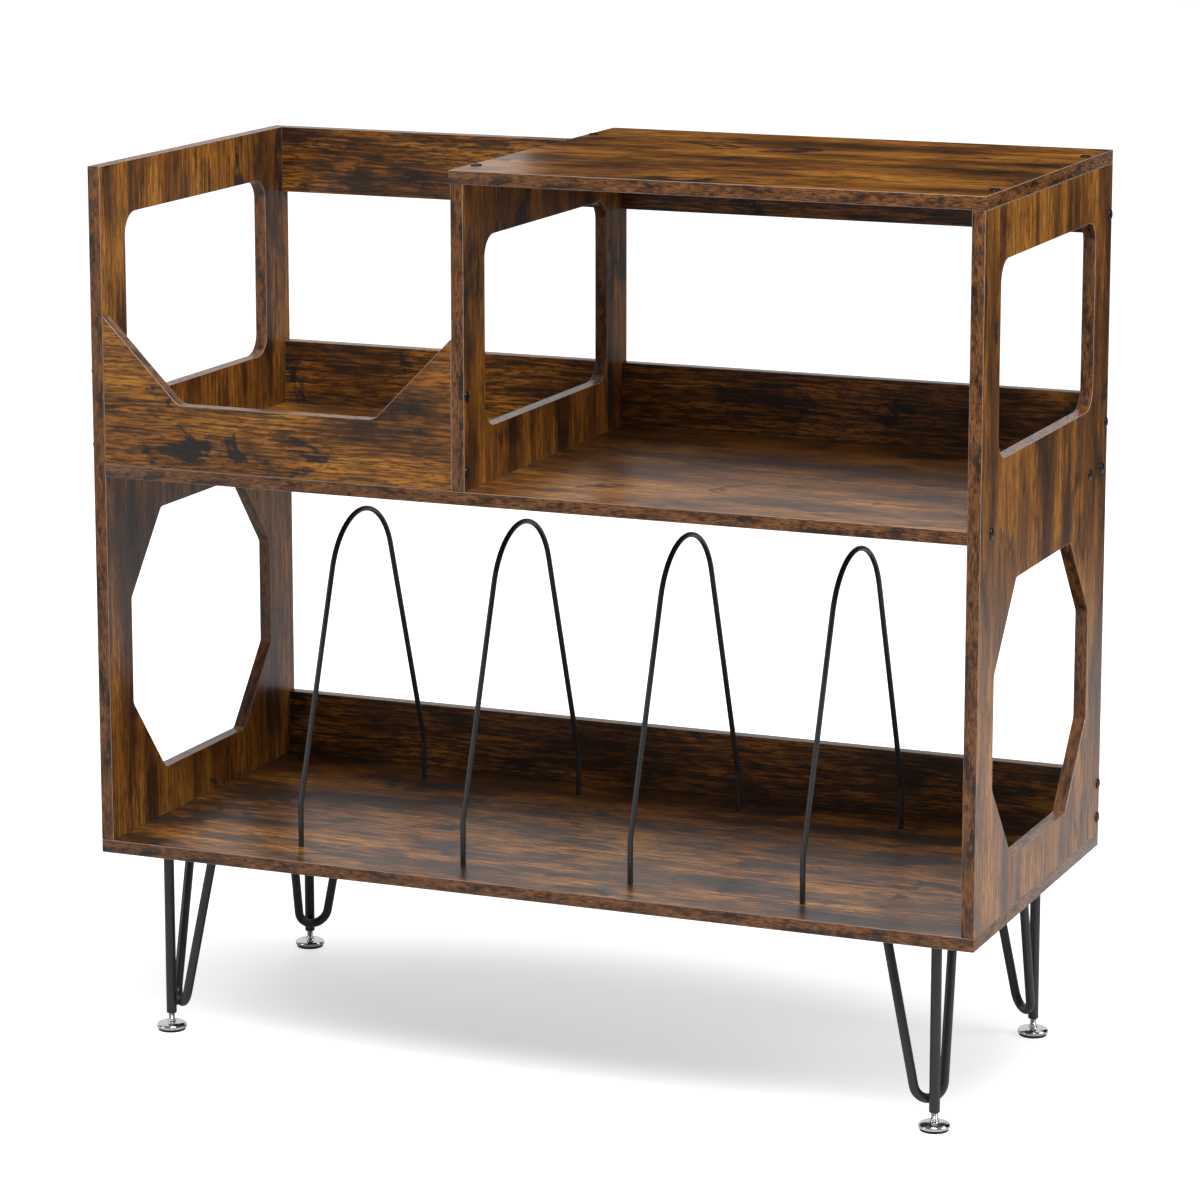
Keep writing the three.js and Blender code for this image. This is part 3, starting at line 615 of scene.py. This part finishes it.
def panel(name, axis, low, high, outline, materials, holes=(), drilled=(), sunk=()):
    """A board from low to high along its axis. outline and holes get a band, drilled holes
    go right through and sunk ones, each an outline with its depth from the high face, show
    the bare core. Outlines are in `others(axis)`. materials are face, band and core."""
    middle, half = (low + high) / 2, (high - low) / 2
    edge_rows = edge_profile(half)
    loops = [(line, edge_rows, BAND, True) for line in (outline, *holes)]
    loops += [(hole, edge_rows, CORE, True) for hole in drilled]
    for hole, depth in sunk:
        loops.append((hole, np.array([[SUNK_ARRIS, half], [0, half - SUNK_ARRIS],
                                      [0, half - depth]]), CORE, False))
    points, quads, corners_uv, slots = [], [], [], []
    tops, bottoms, floors = [], [], []
    first = 0
    for i, (line, rows, slot, through) in enumerate(loops):
        if (enclosed(line) > 0) != (i == 0):
            line = line[::-1]
        count, wide = len(line), len(rows)
        grid = line[:, None] - outwards(line)[:, None] * rows[None, :, :1]
        level = np.broadcast_to(rows[None, :, 1:], (count, wide, 1))
        points.append(np.concatenate([grid, level], axis=2).reshape(-1, 3))
        quads.append(grid_quads(count, wide, count, wide - 1) + first)
        along = np.concatenate([[0], np.cumsum(np.linalg.norm(
            np.roll(line, -1, axis=0) - line, axis=1))])
        down = np.concatenate([[0], np.cumsum(np.linalg.norm(np.diff(rows, axis=0), axis=1))])
        down = down[-1] / 2 - down
        u0, v0 = np.meshgrid(along[:-1], down[:-1], indexing="ij")
        u1, v1 = np.meshgrid(along[1:], down[1:], indexing="ij")
        corners_uv.append(np.stack([u0, v0, u0, v1, u1, v1, u1, v0], axis=-1).reshape(-1, 8))
        slots.append(np.full(count * (wide - 1), slot))
        ring = np.arange(count) * wide + first
        tops.append(ring)
        if through:
            bottoms.append(ring + wide - 1)
        else:
            floors.append((ring + wide - 1)[::-1].tolist())
        first += count * wide
    points = np.concatenate(points)
    filled = []
    for rings, sign in ((tops, 1), (bottoms, -1)):
        index = np.concatenate(rings)
        loop_points = [[Vector((*points[k][:2], 0)) for k in ring] for ring in rings]
        triangles = index[np.array(tessellate_polygon(loop_points))]
        a, b, c = (points[triangles[:, k], :2] for k in range(3))
        turned_left = (b - a)[:, 0] * (c - a)[:, 1] - (b - a)[:, 1] * (c - a)[:, 0] > 0
        wrong = turned_left != (sign > 0)
        triangles[wrong] = triangles[wrong][:, ::-1]
        filled.append(triangles)
    filled = np.concatenate(filled)
    flat_uv = points[filled][:, :, :2].reshape(len(filled), 6)
    floor_uv = [points[ring][:, :2].ravel() for ring in floors]
    faces = np.concatenate(quads).tolist() + filled.tolist() + floors
    uv = np.concatenate([np.concatenate(corners_uv).ravel(), flat_uv.ravel(), *floor_uv])
    slots = np.concatenate([*slots, np.full(len(filled), FACE), np.full(len(floors), CORE)])
    smooth = np.arange(len(faces)) < sum(len(q) for q in quads)
    placed = np.empty_like(points)
    placed[:, [*others(axis), axis]] = points + [0, 0, middle]
    return mesh_object(name, placed, faces, materials, slots, smooth, uv)


def volume(piece):
    """The space that a closed mesh encloses: the sum of its triangles' corner products over
    six. It is above 0 only where the faces look outwards."""
    mesh = piece.data
    mesh.calc_loop_triangles()
    points = np.empty(len(mesh.vertices) * 3)
    mesh.vertices.foreach_get("co", points)
    triangles = np.empty(len(mesh.loop_triangles) * 3, int)
    mesh.loop_triangles.foreach_get("vertices", triangles)
    a, b, c = points.reshape(-1, 3)[triangles].reshape(-1, 3, 3).transpose(1, 0, 2)
    return np.sum(a * np.cross(b, c)) / 6


test = panel("test_board", Z, -6 * MM, 6 * MM, circle((0, 0), 0.1),
             [LEVEL_FACE, EDGE_BAND, RAW_CORE])
print("test board volume", round(volume(test) / MM**3), "cubic mm")
bpy.data.objects.remove(test)

# %% [markdown]
# ## Outlines and drilled places
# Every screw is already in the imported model, so its CAD box says where a board is drilled:
# a screw's longest side is its axis, and its head stands on the outer end. The side panels
# and the divider have a rounded window, and the side panels an octagon with softened
# corners, both set in from the board's edges by frames of fixed width.

# %% Screws read from the CAD
SCREW_HEAD = 2 * MM


def read_screw(node):
    """A screw's axis, the point on the board's face under its head, and which way it looks."""
    low, high = cad_box(node)
    axis = int(np.argmax(high - low))
    sign = -1 if "_left_" in node else 1
    seat = (low + high) / 2
    seat[axis] = (high if sign > 0 else low)[axis] - sign * SCREW_HEAD
    return axis, seat, sign


SCREWS = {node: read_screw(node) for node in sorted(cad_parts) if node.startswith("screw_")}
HOLE_RADIUS = 2.3 * MM


def screw_holes(axis, start):
    """Round holes through a board for the screws whose names start so."""
    return [circle(seat[others(axis)], HOLE_RADIUS) for node, (_, seat, _) in SCREWS.items()
            if node.startswith(start)]


print(len(SCREWS), "screws")

# %% Window, octagon and bin outlines
CORNER = 0.6 * MM  # of a board's own corners
# how wide the frames round the cut-outs are, and how round these are
WINDOW_FRONT, WINDOW_BACK, WINDOW_ROUND = 46 * MM, 49 * MM, 20 * MM
OCTAGON_FRONT, OCTAGON_BACK, OCTAGON_ROUND = 44.5 * MM, 49.5 * MM, 6 * MM
OCTAGON_SILL, OCTAGON_HEAD = 45.5 * MM, 46 * MM
RUN, RISE = 60 * MM, 74.5 * MM
NOTCH_SILL, NOTCH_RUN, NOTCH_ROUND = 58.5 * MM, 75 * MM, 15 * MM
WIRE_HOLE, WIRE_HOLE_DEPTH = 2.8 * MM, 8 * MM


def rectangle(low, high, radius, step):
    """A rounded rectangle between two opposite corners."""
    return rounded([low, (high[0], low[1]), high, (low[0], high[1])], [radius] * 4, step, True)


def seen_along(node, axis):
    """A node's box, seen along an axis: its corners along the two others."""
    return [corner[others(axis)] for corner in cad_box(node)]


def window(sill, head):
    """A window's outline, Y then Z, its sill above the shelf and its head under the top."""
    return rectangle((stand_front + WINDOW_FRONT, shelf_top + sill),
                     (stand_back - WINDOW_BACK, panel_top - head), WINDOW_ROUND, 6)


near, far = stand_front + OCTAGON_FRONT, stand_back - OCTAGON_BACK
low, high = base_top + OCTAGON_SILL, shelf_underside - OCTAGON_HEAD
OCTAGON = rounded([(near + RUN, low), (far - RUN, low), (far, low + RISE), (far, high - RISE),
                   (far - RUN, high), (near + RUN, high), (near, high - RISE),
                   (near, low + RISE)], [OCTAGON_ROUND] * 8, 8, True)
SIDE_WINDOW = window(53 * MM, 47 * MM)
DIVIDER_WINDOW = window(50 * MM, 50 * MM)
print("octagon", len(OCTAGON), "points; windows", len(SIDE_WINDOW), "points each")

# %% Build the boards


def board(node, axis, face, holes=(), drilled=(), sunk=(), outline=None):
    """The board that stands for a CAD node, from its box and its cut-outs."""
    if outline is None:
        outline = rectangle(*seen_along(node, axis), CORNER, 25)
    low, high = (corner[axis] for corner in cad_box(node))
    made = panel(f"{node}_dressed", axis, low, high, outline, [face, EDGE_BAND, RAW_CORE],
                 holes, drilled, sunk)
    return belongs(made, stands_for=[node])


for side in ("left", "right"):
    board(f"{side}_side_panel", X, UPRIGHT_FACE, [SIDE_WINDOW, OCTAGON],
          screw_holes(X, f"screw_{side}"))
board("divider_panel", X, UPRIGHT_FACE, [DIVIDER_WINDOW], screw_holes(X, "screw_divider"))
board("middle_shelf", Z, LEVEL_FACE)
board("top_board", Z, LEVEL_FACE, drilled=screw_holes(Z, "screw_top"))
for node in ("top_back_rail_left", "top_back_rail_right", "middle_back_panel_left",
             "middle_back_panel_right", "bottom_back_panel"):
    board(node, Y, STRIP_FACE)

low, high = cad_box("bin_front_panel")
lip = shelf_top + NOTCH_SILL
notched = rounded([(low[Z], low[X]), (low[Z], high[X]), (high[Z], high[X]),
                   (lip, high[X] - NOTCH_RUN), (lip, low[X] + NOTCH_RUN), (high[Z], low[X])],
                  [CORNER, CORNER, CORNER, NOTCH_ROUND, NOTCH_ROUND, CORNER], 8, True)
board("bin_front_panel", Y, LEVEL_FACE, outline=notched)

wire_feet = []
for i in range(1, 5):
    low, high = cad_box(f"record_divider_{i}")
    radius = (high[X] - low[X]) / 2
    wire_feet += [((low[X] + high[X]) / 2, y) for y in (low[Y] + radius, high[Y] - radius)]
# the bottom board's melamine is darkened all over: painted shade
board("bottom_board", Z, BASE_FACE_PAINTED_SHADE, sunk=[(circle(foot, WIRE_HOLE), WIRE_HOLE_DEPTH)
                                           for foot in wire_feet])

# %% [markdown]
# ## Round pieces
# Wires and legs are rods, bent cold: a circle carried along a line that lies in one plane.
# Screws, posts and feet are turned: a profile carried round an axis. Both are grids that
# close on themselves in one direction. Their two ends shrink to a point, and the points
# that fall together there are merged, so every skin is closed.

# %% Skins
END_ROUND = 0.6 * MM  # of a rod's two ends


def skin(name, grid, finish):
    """A closed piece from rings of points, the columns of each joined on to themselves. Its
    doubled points are merged and its faces then turned outwards."""
    rows, columns = grid.shape[:2]
    faces = grid_quads(rows, columns, rows - 1, columns).tolist()
    piece = mesh_object(name, grid, faces, [finish])
    welded = bmesh.new()
    welded.from_mesh(piece.data)
    bmesh.ops.remove_doubles(welded, verts=welded.verts, dist=1e-6)
    bmesh.ops.recalc_face_normals(welded, faces=welded.faces)
    welded.to_mesh(piece.data)
    welded.free()
    piece.data.set_sharp_from_angle(angle=SHARP)
    return piece


def dress(node, grid, finish, body="root"):
    """The skin that stands for a CAD node, on the body that the node moves with."""
    return belongs(skin(f"{node}_dressed", grid, finish), body, [node])


def turned(profile, sides, wobble=0):
    """A profile of radius and height carried round Z: (r cos a, r sin a, h). wobble is added
    to the radius and may differ from point to point."""
    angle = np.arange(sides) * TURN / sides
    radius = profile[:, :1] + wobble
    height = profile[:, 1:] + 0 * angle
    return np.stack([radius * np.cos(angle), radius * np.sin(angle), height], axis=-1)


def rod(line, radius, sides, across):
    """A circle carried along a line that lies in the plane square to `across`. At each point
    it stands across the mean of the two neighbouring directions. At both ends its radius
    draws in by a quarter circle and then closes to a point."""
    ahead = unit(np.diff(line, axis=0))
    tangent = unit(np.vstack([ahead[:1], ahead[1:] + ahead[:-1], ahead[-1:]]))
    swing = np.linspace(0, np.pi / 2, 4)
    sink = END_ROUND * (1 - np.cos(swing))[:, None]
    drawn = radius - END_ROUND * (1 - np.sin(swing))
    centres = np.vstack([line[:1], line[0] + tangent[0] * sink, line[1:-1],
                         (line[-1] - tangent[-1] * sink)[::-1], line[-1:]])
    radii = np.concatenate([[0], drawn, np.full(len(line) - 2, radius), drawn[::-1], [0]])
    turns = np.concatenate([[0] * 5, np.arange(1, len(line) - 1), [-1] * 5])
    side = np.cross(across, tangent[turns])[:, None]
    angle = (np.arange(sides) * TURN / sides)[None, :, None]
    return (centres[:, None] + radii[:, None, None]
            * (np.cos(angle) * side + np.sin(angle) * np.array(across)))


def facing(grid, seat, axis=Z, sign=1):
    """Stands a grid that was turned about Z on its seat, its top looking along an axis."""
    placed = np.empty_like(grid)
    placed[..., [*others(axis), axis]] = grid * [1, 1, sign]
    return placed + seat


print("round helpers ready")

# %% [markdown]
# ## Wire dividers
# Each divider is one 5 mm rod. It leaves its hole upright, leans in at a soft knee and goes
# over the top in a wide arch that both leaning legs touch. The arch is nothing but a very
# round corner, so the whole wire is five corners given to `rounded`.

# %% Wires
KNEE_HEIGHT, KNEE_ROUND, ARCH_ROUND = 40 * MM, 15 * MM, 66.5 * MM


def leaning_peak(half_span, centre_rise, radius):
    """How far above two feet their leaning lines would meet, when both lines touch a circle
    whose centre lies centre_rise above the middle between the feet: the lean is the angle
    to the centre less the angle that the radius takes up, and the peak is the half span
    over the lean's tangent."""
    lean = (np.arctan2(half_span, centre_rise)
            - np.arcsin(radius / np.hypot(half_span, centre_rise)))
    return half_span / np.tan(lean)


def bent_wire(node):
    low, high = cad_box(node)
    radius = (high - low)[X] / 2
    x = low[X] + radius
    front_y, back_y = low[Y] + radius, high[Y] - radius
    knee = base_top + KNEE_HEIGHT
    rise = high[Z] - radius - ARCH_ROUND - knee
    peak = knee + leaning_peak((back_y - front_y) / 2, rise, ARCH_ROUND)
    line = rounded([(x, front_y, low[Z]), (x, front_y, knee), (x, (front_y + back_y) / 2, peak),
                    (x, back_y, knee), (x, back_y, low[Z])],
                   [0, KNEE_ROUND, ARCH_ROUND, KNEE_ROUND, 0], step=4)
    return rod(line, radius, 20, (1, 0, 0))


for i in range(1, 5):
    node = f"record_divider_{i}"
    wire = dress(node, bent_wire(node), POWDER_COAT, f"wire_divider_{i}")
print("wires, each", len(wire.data.vertices), "points")

# %% [markdown]
# ## Legs
# A leg is a plate screwed under the bottom board, a straight post welded to it over the
# levelling foot, and a second rod that is bent to a narrow V and welded to the plate at
# both ends and to the post at its bend. The plate is a small panel with drilled holes. Each
# weld is a ring of bead whose thickness swells and shrinks a little as it goes round, as
# the puddle of a real one does. The post has a bore for the foot's stud.

# %% Plates, posts and rods
FLOOR_TO_POST = 16 * MM
BORE_RADIUS, BORE_TOP = 3.3 * MM, 42.5 * MM
ROD_RADIUS, ROD_REACH, BEND_ROUND, BEND_RISE = 4.25 * MM, 47 * MM, 15 * MM, 9.9 * MM
SUNK_IN_PLATE = 1.5 * MM
PLATE_INSET, PLATE_ROUND, PLATE_HOLE = 9 * MM, 10 * MM, 2.25 * MM
WELD_GAP = 0.3 * MM
CORNERS = ("front_left", "front_right", "back_right", "back_left")


def leg_plate(corner):
    """Makes a leg's plate and tells where its screws' heads lie, on its underside."""
    node = f"leg_plate_{corner}"
    low, high = cad_box(node)
    holes = [(x, y) for x in (low[X] + PLATE_INSET, high[X] - PLATE_INSET)
             for y in (low[Y] + PLATE_INSET, high[Y] - PLATE_INSET)]
    plate = panel(f"{node}_dressed", Z, low[Z], high[Z],
                  rectangle(low[:2], high[:2], PLATE_ROUND, 8), [POWDER_COAT] * 3,
                  drilled=[circle(hole, PLATE_HOLE, 20) for hole in holes])
    belongs(plate, stands_for=[node])
    return [(*hole, low[Z]) for hole in holes]


def post_profile(radius, top):
    """From the bore's end, down the bore, round the mouth and up the outside."""
    return rounded([(0, BORE_TOP), (BORE_RADIUS, BORE_TOP), (BORE_RADIUS, FLOOR_TO_POST),
                    (radius, FLOOR_TO_POST), (radius, top), (0, top)],
                   [0, 0, 0.3 * MM, 0.8 * MM, 0, 0], step=25)


def leg_corner(corner):
    """The post's axis, its radius, the plate's underside and the two inward directions."""
    low, high = cad_box(f"leg_post_{corner}")
    axis = (low[:2] + high[:2]) / 2
    return axis, (high - low)[X] / 2, cad_box(f"leg_plate_{corner}")[0][Z], -np.sign(axis)


def rod_line(corner):
    """The bent rod's line: its two upper ends, sunk a little into the plate, and the round
    bend that touches the post. Also the direction square to the rod's plane."""
    axis, post_radius, plate_low, inward = leg_corner(corner)
    ends = np.array([(*axis, base_underside)] * 2)
    ends[0, X] += inward[0] * ROD_REACH
    ends[1, Y] += inward[1] * ROD_REACH
    touch = post_radius + ROD_RADIUS + WELD_GAP
    bend = np.array([*(axis + inward / np.sqrt(2) * touch), FLOOR_TO_POST + BEND_RISE])
    middle = ends.mean(axis=0)
    down = bend - middle
    rise = np.linalg.norm(down)
    half = np.linalg.norm(ends[1] - ends[0]) / 2
    peak = middle + down / rise * leaning_peak(half, rise - BEND_ROUND, BEND_ROUND)
    cut = (base_underside - plate_low - SUNK_IN_PLATE) / (base_underside - peak[Z])
    ends += (peak - ends) * cut
    across = unit(np.cross(ends[0] - peak, ends[1] - peak))
    return rounded([ends[0], peak, ends[1]], [0, BEND_ROUND, 0], step=5), across


for corner in CORNERS:
    axis, post_radius, plate_low, inward = leg_corner(corner)
    dress(f"leg_post_{corner}", facing(turned(post_profile(post_radius, plate_low), 32),
                                       (*axis, 0)), POWDER_COAT)
    line, across = rod_line(corner)
    dress(f"leg_rod_{corner}", rod(line, ROD_RADIUS, 24, across), POWDER_COAT)
print("rod line has", len(line), "points")

# %% Welds
BEAD, BEND_BEAD, BEND_WELD = 1.4 * MM, 1.2 * MM, 2.2 * MM
BELOW_PLATE = 0.4 * MM


def weld_ring(name, centre, axis, radius, bead=BEAD):
    """A ring of weld: centre + (radius + b cos p) * ring direction + b sin p * axis, where
    the bead b swells by an eighth eleven times a turn."""
    axis = unit(np.array(axis, float))
    first = unit(np.cross(axis, (0.3, 0.5, 0.9)))
    second = np.cross(axis, first)
    round_ring = np.linspace(0, TURN, 56)[:, None, None]
    round_bead = (np.arange(10) * TURN / 10)[None, :, None]
    swell = bead * (1 + 0.12 * np.sin(11 * round_ring) + 0.05 * np.sin(4 * round_ring + 1))
    outward = np.cos(round_ring) * first + np.sin(round_ring) * second
    grid = (np.array(centre) + (radius + swell * np.cos(round_bead)) * outward
            + swell * np.sin(round_bead) * axis)
    return belongs(skin(name, grid, POWDER_COAT))


for corner in CORNERS:
    axis, post_radius, plate_low, inward = leg_corner(corner)
    line = rod_line(corner)[0]
    level = plate_low - BELOW_PLATE
    weld_ring(f"weld_post_{corner}", (*axis, level), (0, 0, 1), post_radius + WELD_GAP)
    for side, end in (("side", line[0]), ("depth", line[-1])):
        weld_ring(f"weld_rod_{side}_{corner}", (*end[:2], level), (0, 0, 1),
                  ROD_RADIUS + WELD_GAP)
    contact = axis + inward / np.sqrt(2) * (post_radius + WELD_GAP / 2)
    weld_ring(f"weld_bend_{corner}", (*contact, FLOOR_TO_POST + BEND_RISE), (*inward, 0),
              BEND_WELD, BEND_BEAD)

# %% [markdown]
# ## Levelling feet
# A foot is turned from one piece: a hollow dome that holds the rubber pad, a small boss
# under the post's end, and a threaded stud. The thread is a ridge of a turn per millimetre:
# at each height it stands out where the height, counted in turns, agrees with the angle.

# %% Feet and pads
STUD_RADIUS, THREAD_DEPTH, THREAD_PITCH = 3.0, 0.45, 1.0  # in millimetres, as is all here
BOSS_TOP, STUD_TOP, STUD_TIP = 9.5, 34.8, 35.5


def thread(profile, sides, low, high, pitch, depth):
    """How much to take off each point's radius: a saw of even slopes, depth at its deepest,
    in height over pitch less angle over a full turn, which fades out at both ends."""
    height = profile[:, 1:]
    turns = height / pitch - np.arange(sides)[None, :] / sides
    saw = 1 - np.abs(2 * (turns % 1.0) - 1)
    fade = np.clip(np.minimum(height - low, high - height) / pitch, 0, 1)
    return -depth * saw * fade


def foot_profile():
    """From inside the dome, under the rim, over the dome and the boss and up the stud."""
    under = rounded([(0, 3.9), (9.8, 3.9), (9.8, 2.5), (14, 2.5), (14, 4.5)],
                    [0, 0, 0.3, 0.5, 0], step=20)
    over = np.linspace(0, np.pi / 2, 13)
    dome = np.column_stack([4 + 10 * np.cos(over), 4.5 + 3.5 * np.sin(over)])[1:]
    boss = rounded([(4, 8), (4, BOSS_TOP), (STUD_RADIUS, BOSS_TOP)], [0, 0.3, 0], step=30)[1:]
    climb = np.arange(BOSS_TOP, STUD_TOP, 0.125)[1:]
    stud = np.column_stack([np.full(len(climb), STUD_RADIUS), climb])
    return np.vstack([under, dome, boss, stud, [(2.3, STUD_TIP), (0, STUD_TIP)]])


PAD_PROFILE = rounded([(0, 0), (4.5, 0), (4.8, 0.3), (5.6, 0.3), (5.9, 0), (8.5, 0), (8.8, 0.3),
                       (9.6, 0.3), (9.9, 0), (12.75, 0), (12.75, 2.2), (9.5, 2.2), (9.5, 3.6),
                       (0, 3.6)], [0] * 9 + [0.45, 0.3, 0, 0.2, 0], step=25)
FOOT_PROFILE = foot_profile()
CUT = thread(FOOT_PROFILE, 32, BOSS_TOP + 0.4, STUD_TOP + 0.1, THREAD_PITCH, THREAD_DEPTH)
FOOT, PAD = turned(FOOT_PROFILE, 32, CUT) * MM, turned(PAD_PROFILE, 48) * MM

for corner in CORNERS:
    at = (*leg_corner(corner)[0], 0)
    foot = dress(f"levelling_foot_{corner}", facing(FOOT, at), CHROME,
                 f"foot_{corner}")
    dress(f"foot_pad_{corner}", facing(PAD, at), RUBBER, f"pad_{corner}")
print("each foot has", len(foot.data.vertices), "points")

# %% [markdown]
# ## Screws
# The boards are held by black screws with low domed heads and a cross recess, the legs'
# plates by shorter ones of the same kind. A head is turned too, but its rows of points are
# close together in the middle, where the recess is pressed in: deep where a point lies near
# either arm's middle line, and fading towards the arm's tip.

# %% Screws


def cross_recess(x, y, reach, width, depth):
    """How deep the recess is at a point: full near an arm's middle, none past its flank,
    and less and less over the last third of its reach."""
    flank = np.clip((width * 0.62 - np.minimum(abs(x), abs(y))) / (width * 0.16), 0, 1)
    tip = np.clip((reach - np.maximum(abs(x), abs(y))) / (reach / 3), 0, 1)
    return depth * flank * tip


def screw_grid(head_radius, head_height, shank, length, pitch):
    """A screw on its seat, its top up, from sizes in millimetres: the dome as an ellipse,
    the edge, the seat, and the threaded shank down to a point."""
    radius = np.concatenate([np.linspace(0, 0.6, 13), np.sin(np.linspace(0.75, np.pi / 2, 7))])
    dome = np.column_stack([head_radius * radius,
                            0.6 + (head_height - 0.6) * np.sqrt(1 - radius ** 2)])
    down = np.arange(0.1, 4 - length, -pitch / 5)
    body = np.vstack([rounded([(head_radius, 0.6), (head_radius, 0.1), (shank, 0.1)],
                              [0, 0.25, 0], step=30)[1:],
                      np.column_stack([np.full(len(down), shank), down])[1:],
                      [(shank * 0.5, 2 - length), (0, -length)]])
    profile = np.vstack([dome, body])
    grid = turned(profile, 32, thread(profile, 32, 4 - length, -2.5, pitch, shank / 4))
    top = grid[:len(dome)]
    top[..., Z] -= cross_recess(top[..., X], top[..., Y], reach=head_radius / 2, width=1.0,
                                depth=1.0)
    return grid * MM


BOARD_SCREW = screw_grid(head_radius=5.0, head_height=2.0, shank=2.0, length=38.0, pitch=1.8)
PLATE_SCREW = screw_grid(head_radius=4.0, head_height=2.2, shank=1.9, length=11.0, pitch=1.5)
for node, (axis, seat, sign) in SCREWS.items():
    dress(node, facing(BOARD_SCREW, seat, axis, sign), SCREW_BLACK)
for corner in CORNERS:
    for i, seat in enumerate(leg_plate(corner), 1):
        belongs(skin(f"plate_screw_{corner}_{i}", facing(PLATE_SCREW, seat, Z, -1),
                     SCREW_BLACK))

# %% [markdown]
# ## Measure and finish
# The dressed stand must fill the same box as the CAD model. A
# shell's volume, checked for each, is above 0 only where its faces look outwards.

# %% Check the shells
dressed = [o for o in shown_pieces() if o.type == "MESH"]
inside_out = [o.name for o in dressed if volume(o) <= 0]
print("pieces:", len(dressed), "inside out:", inside_out)
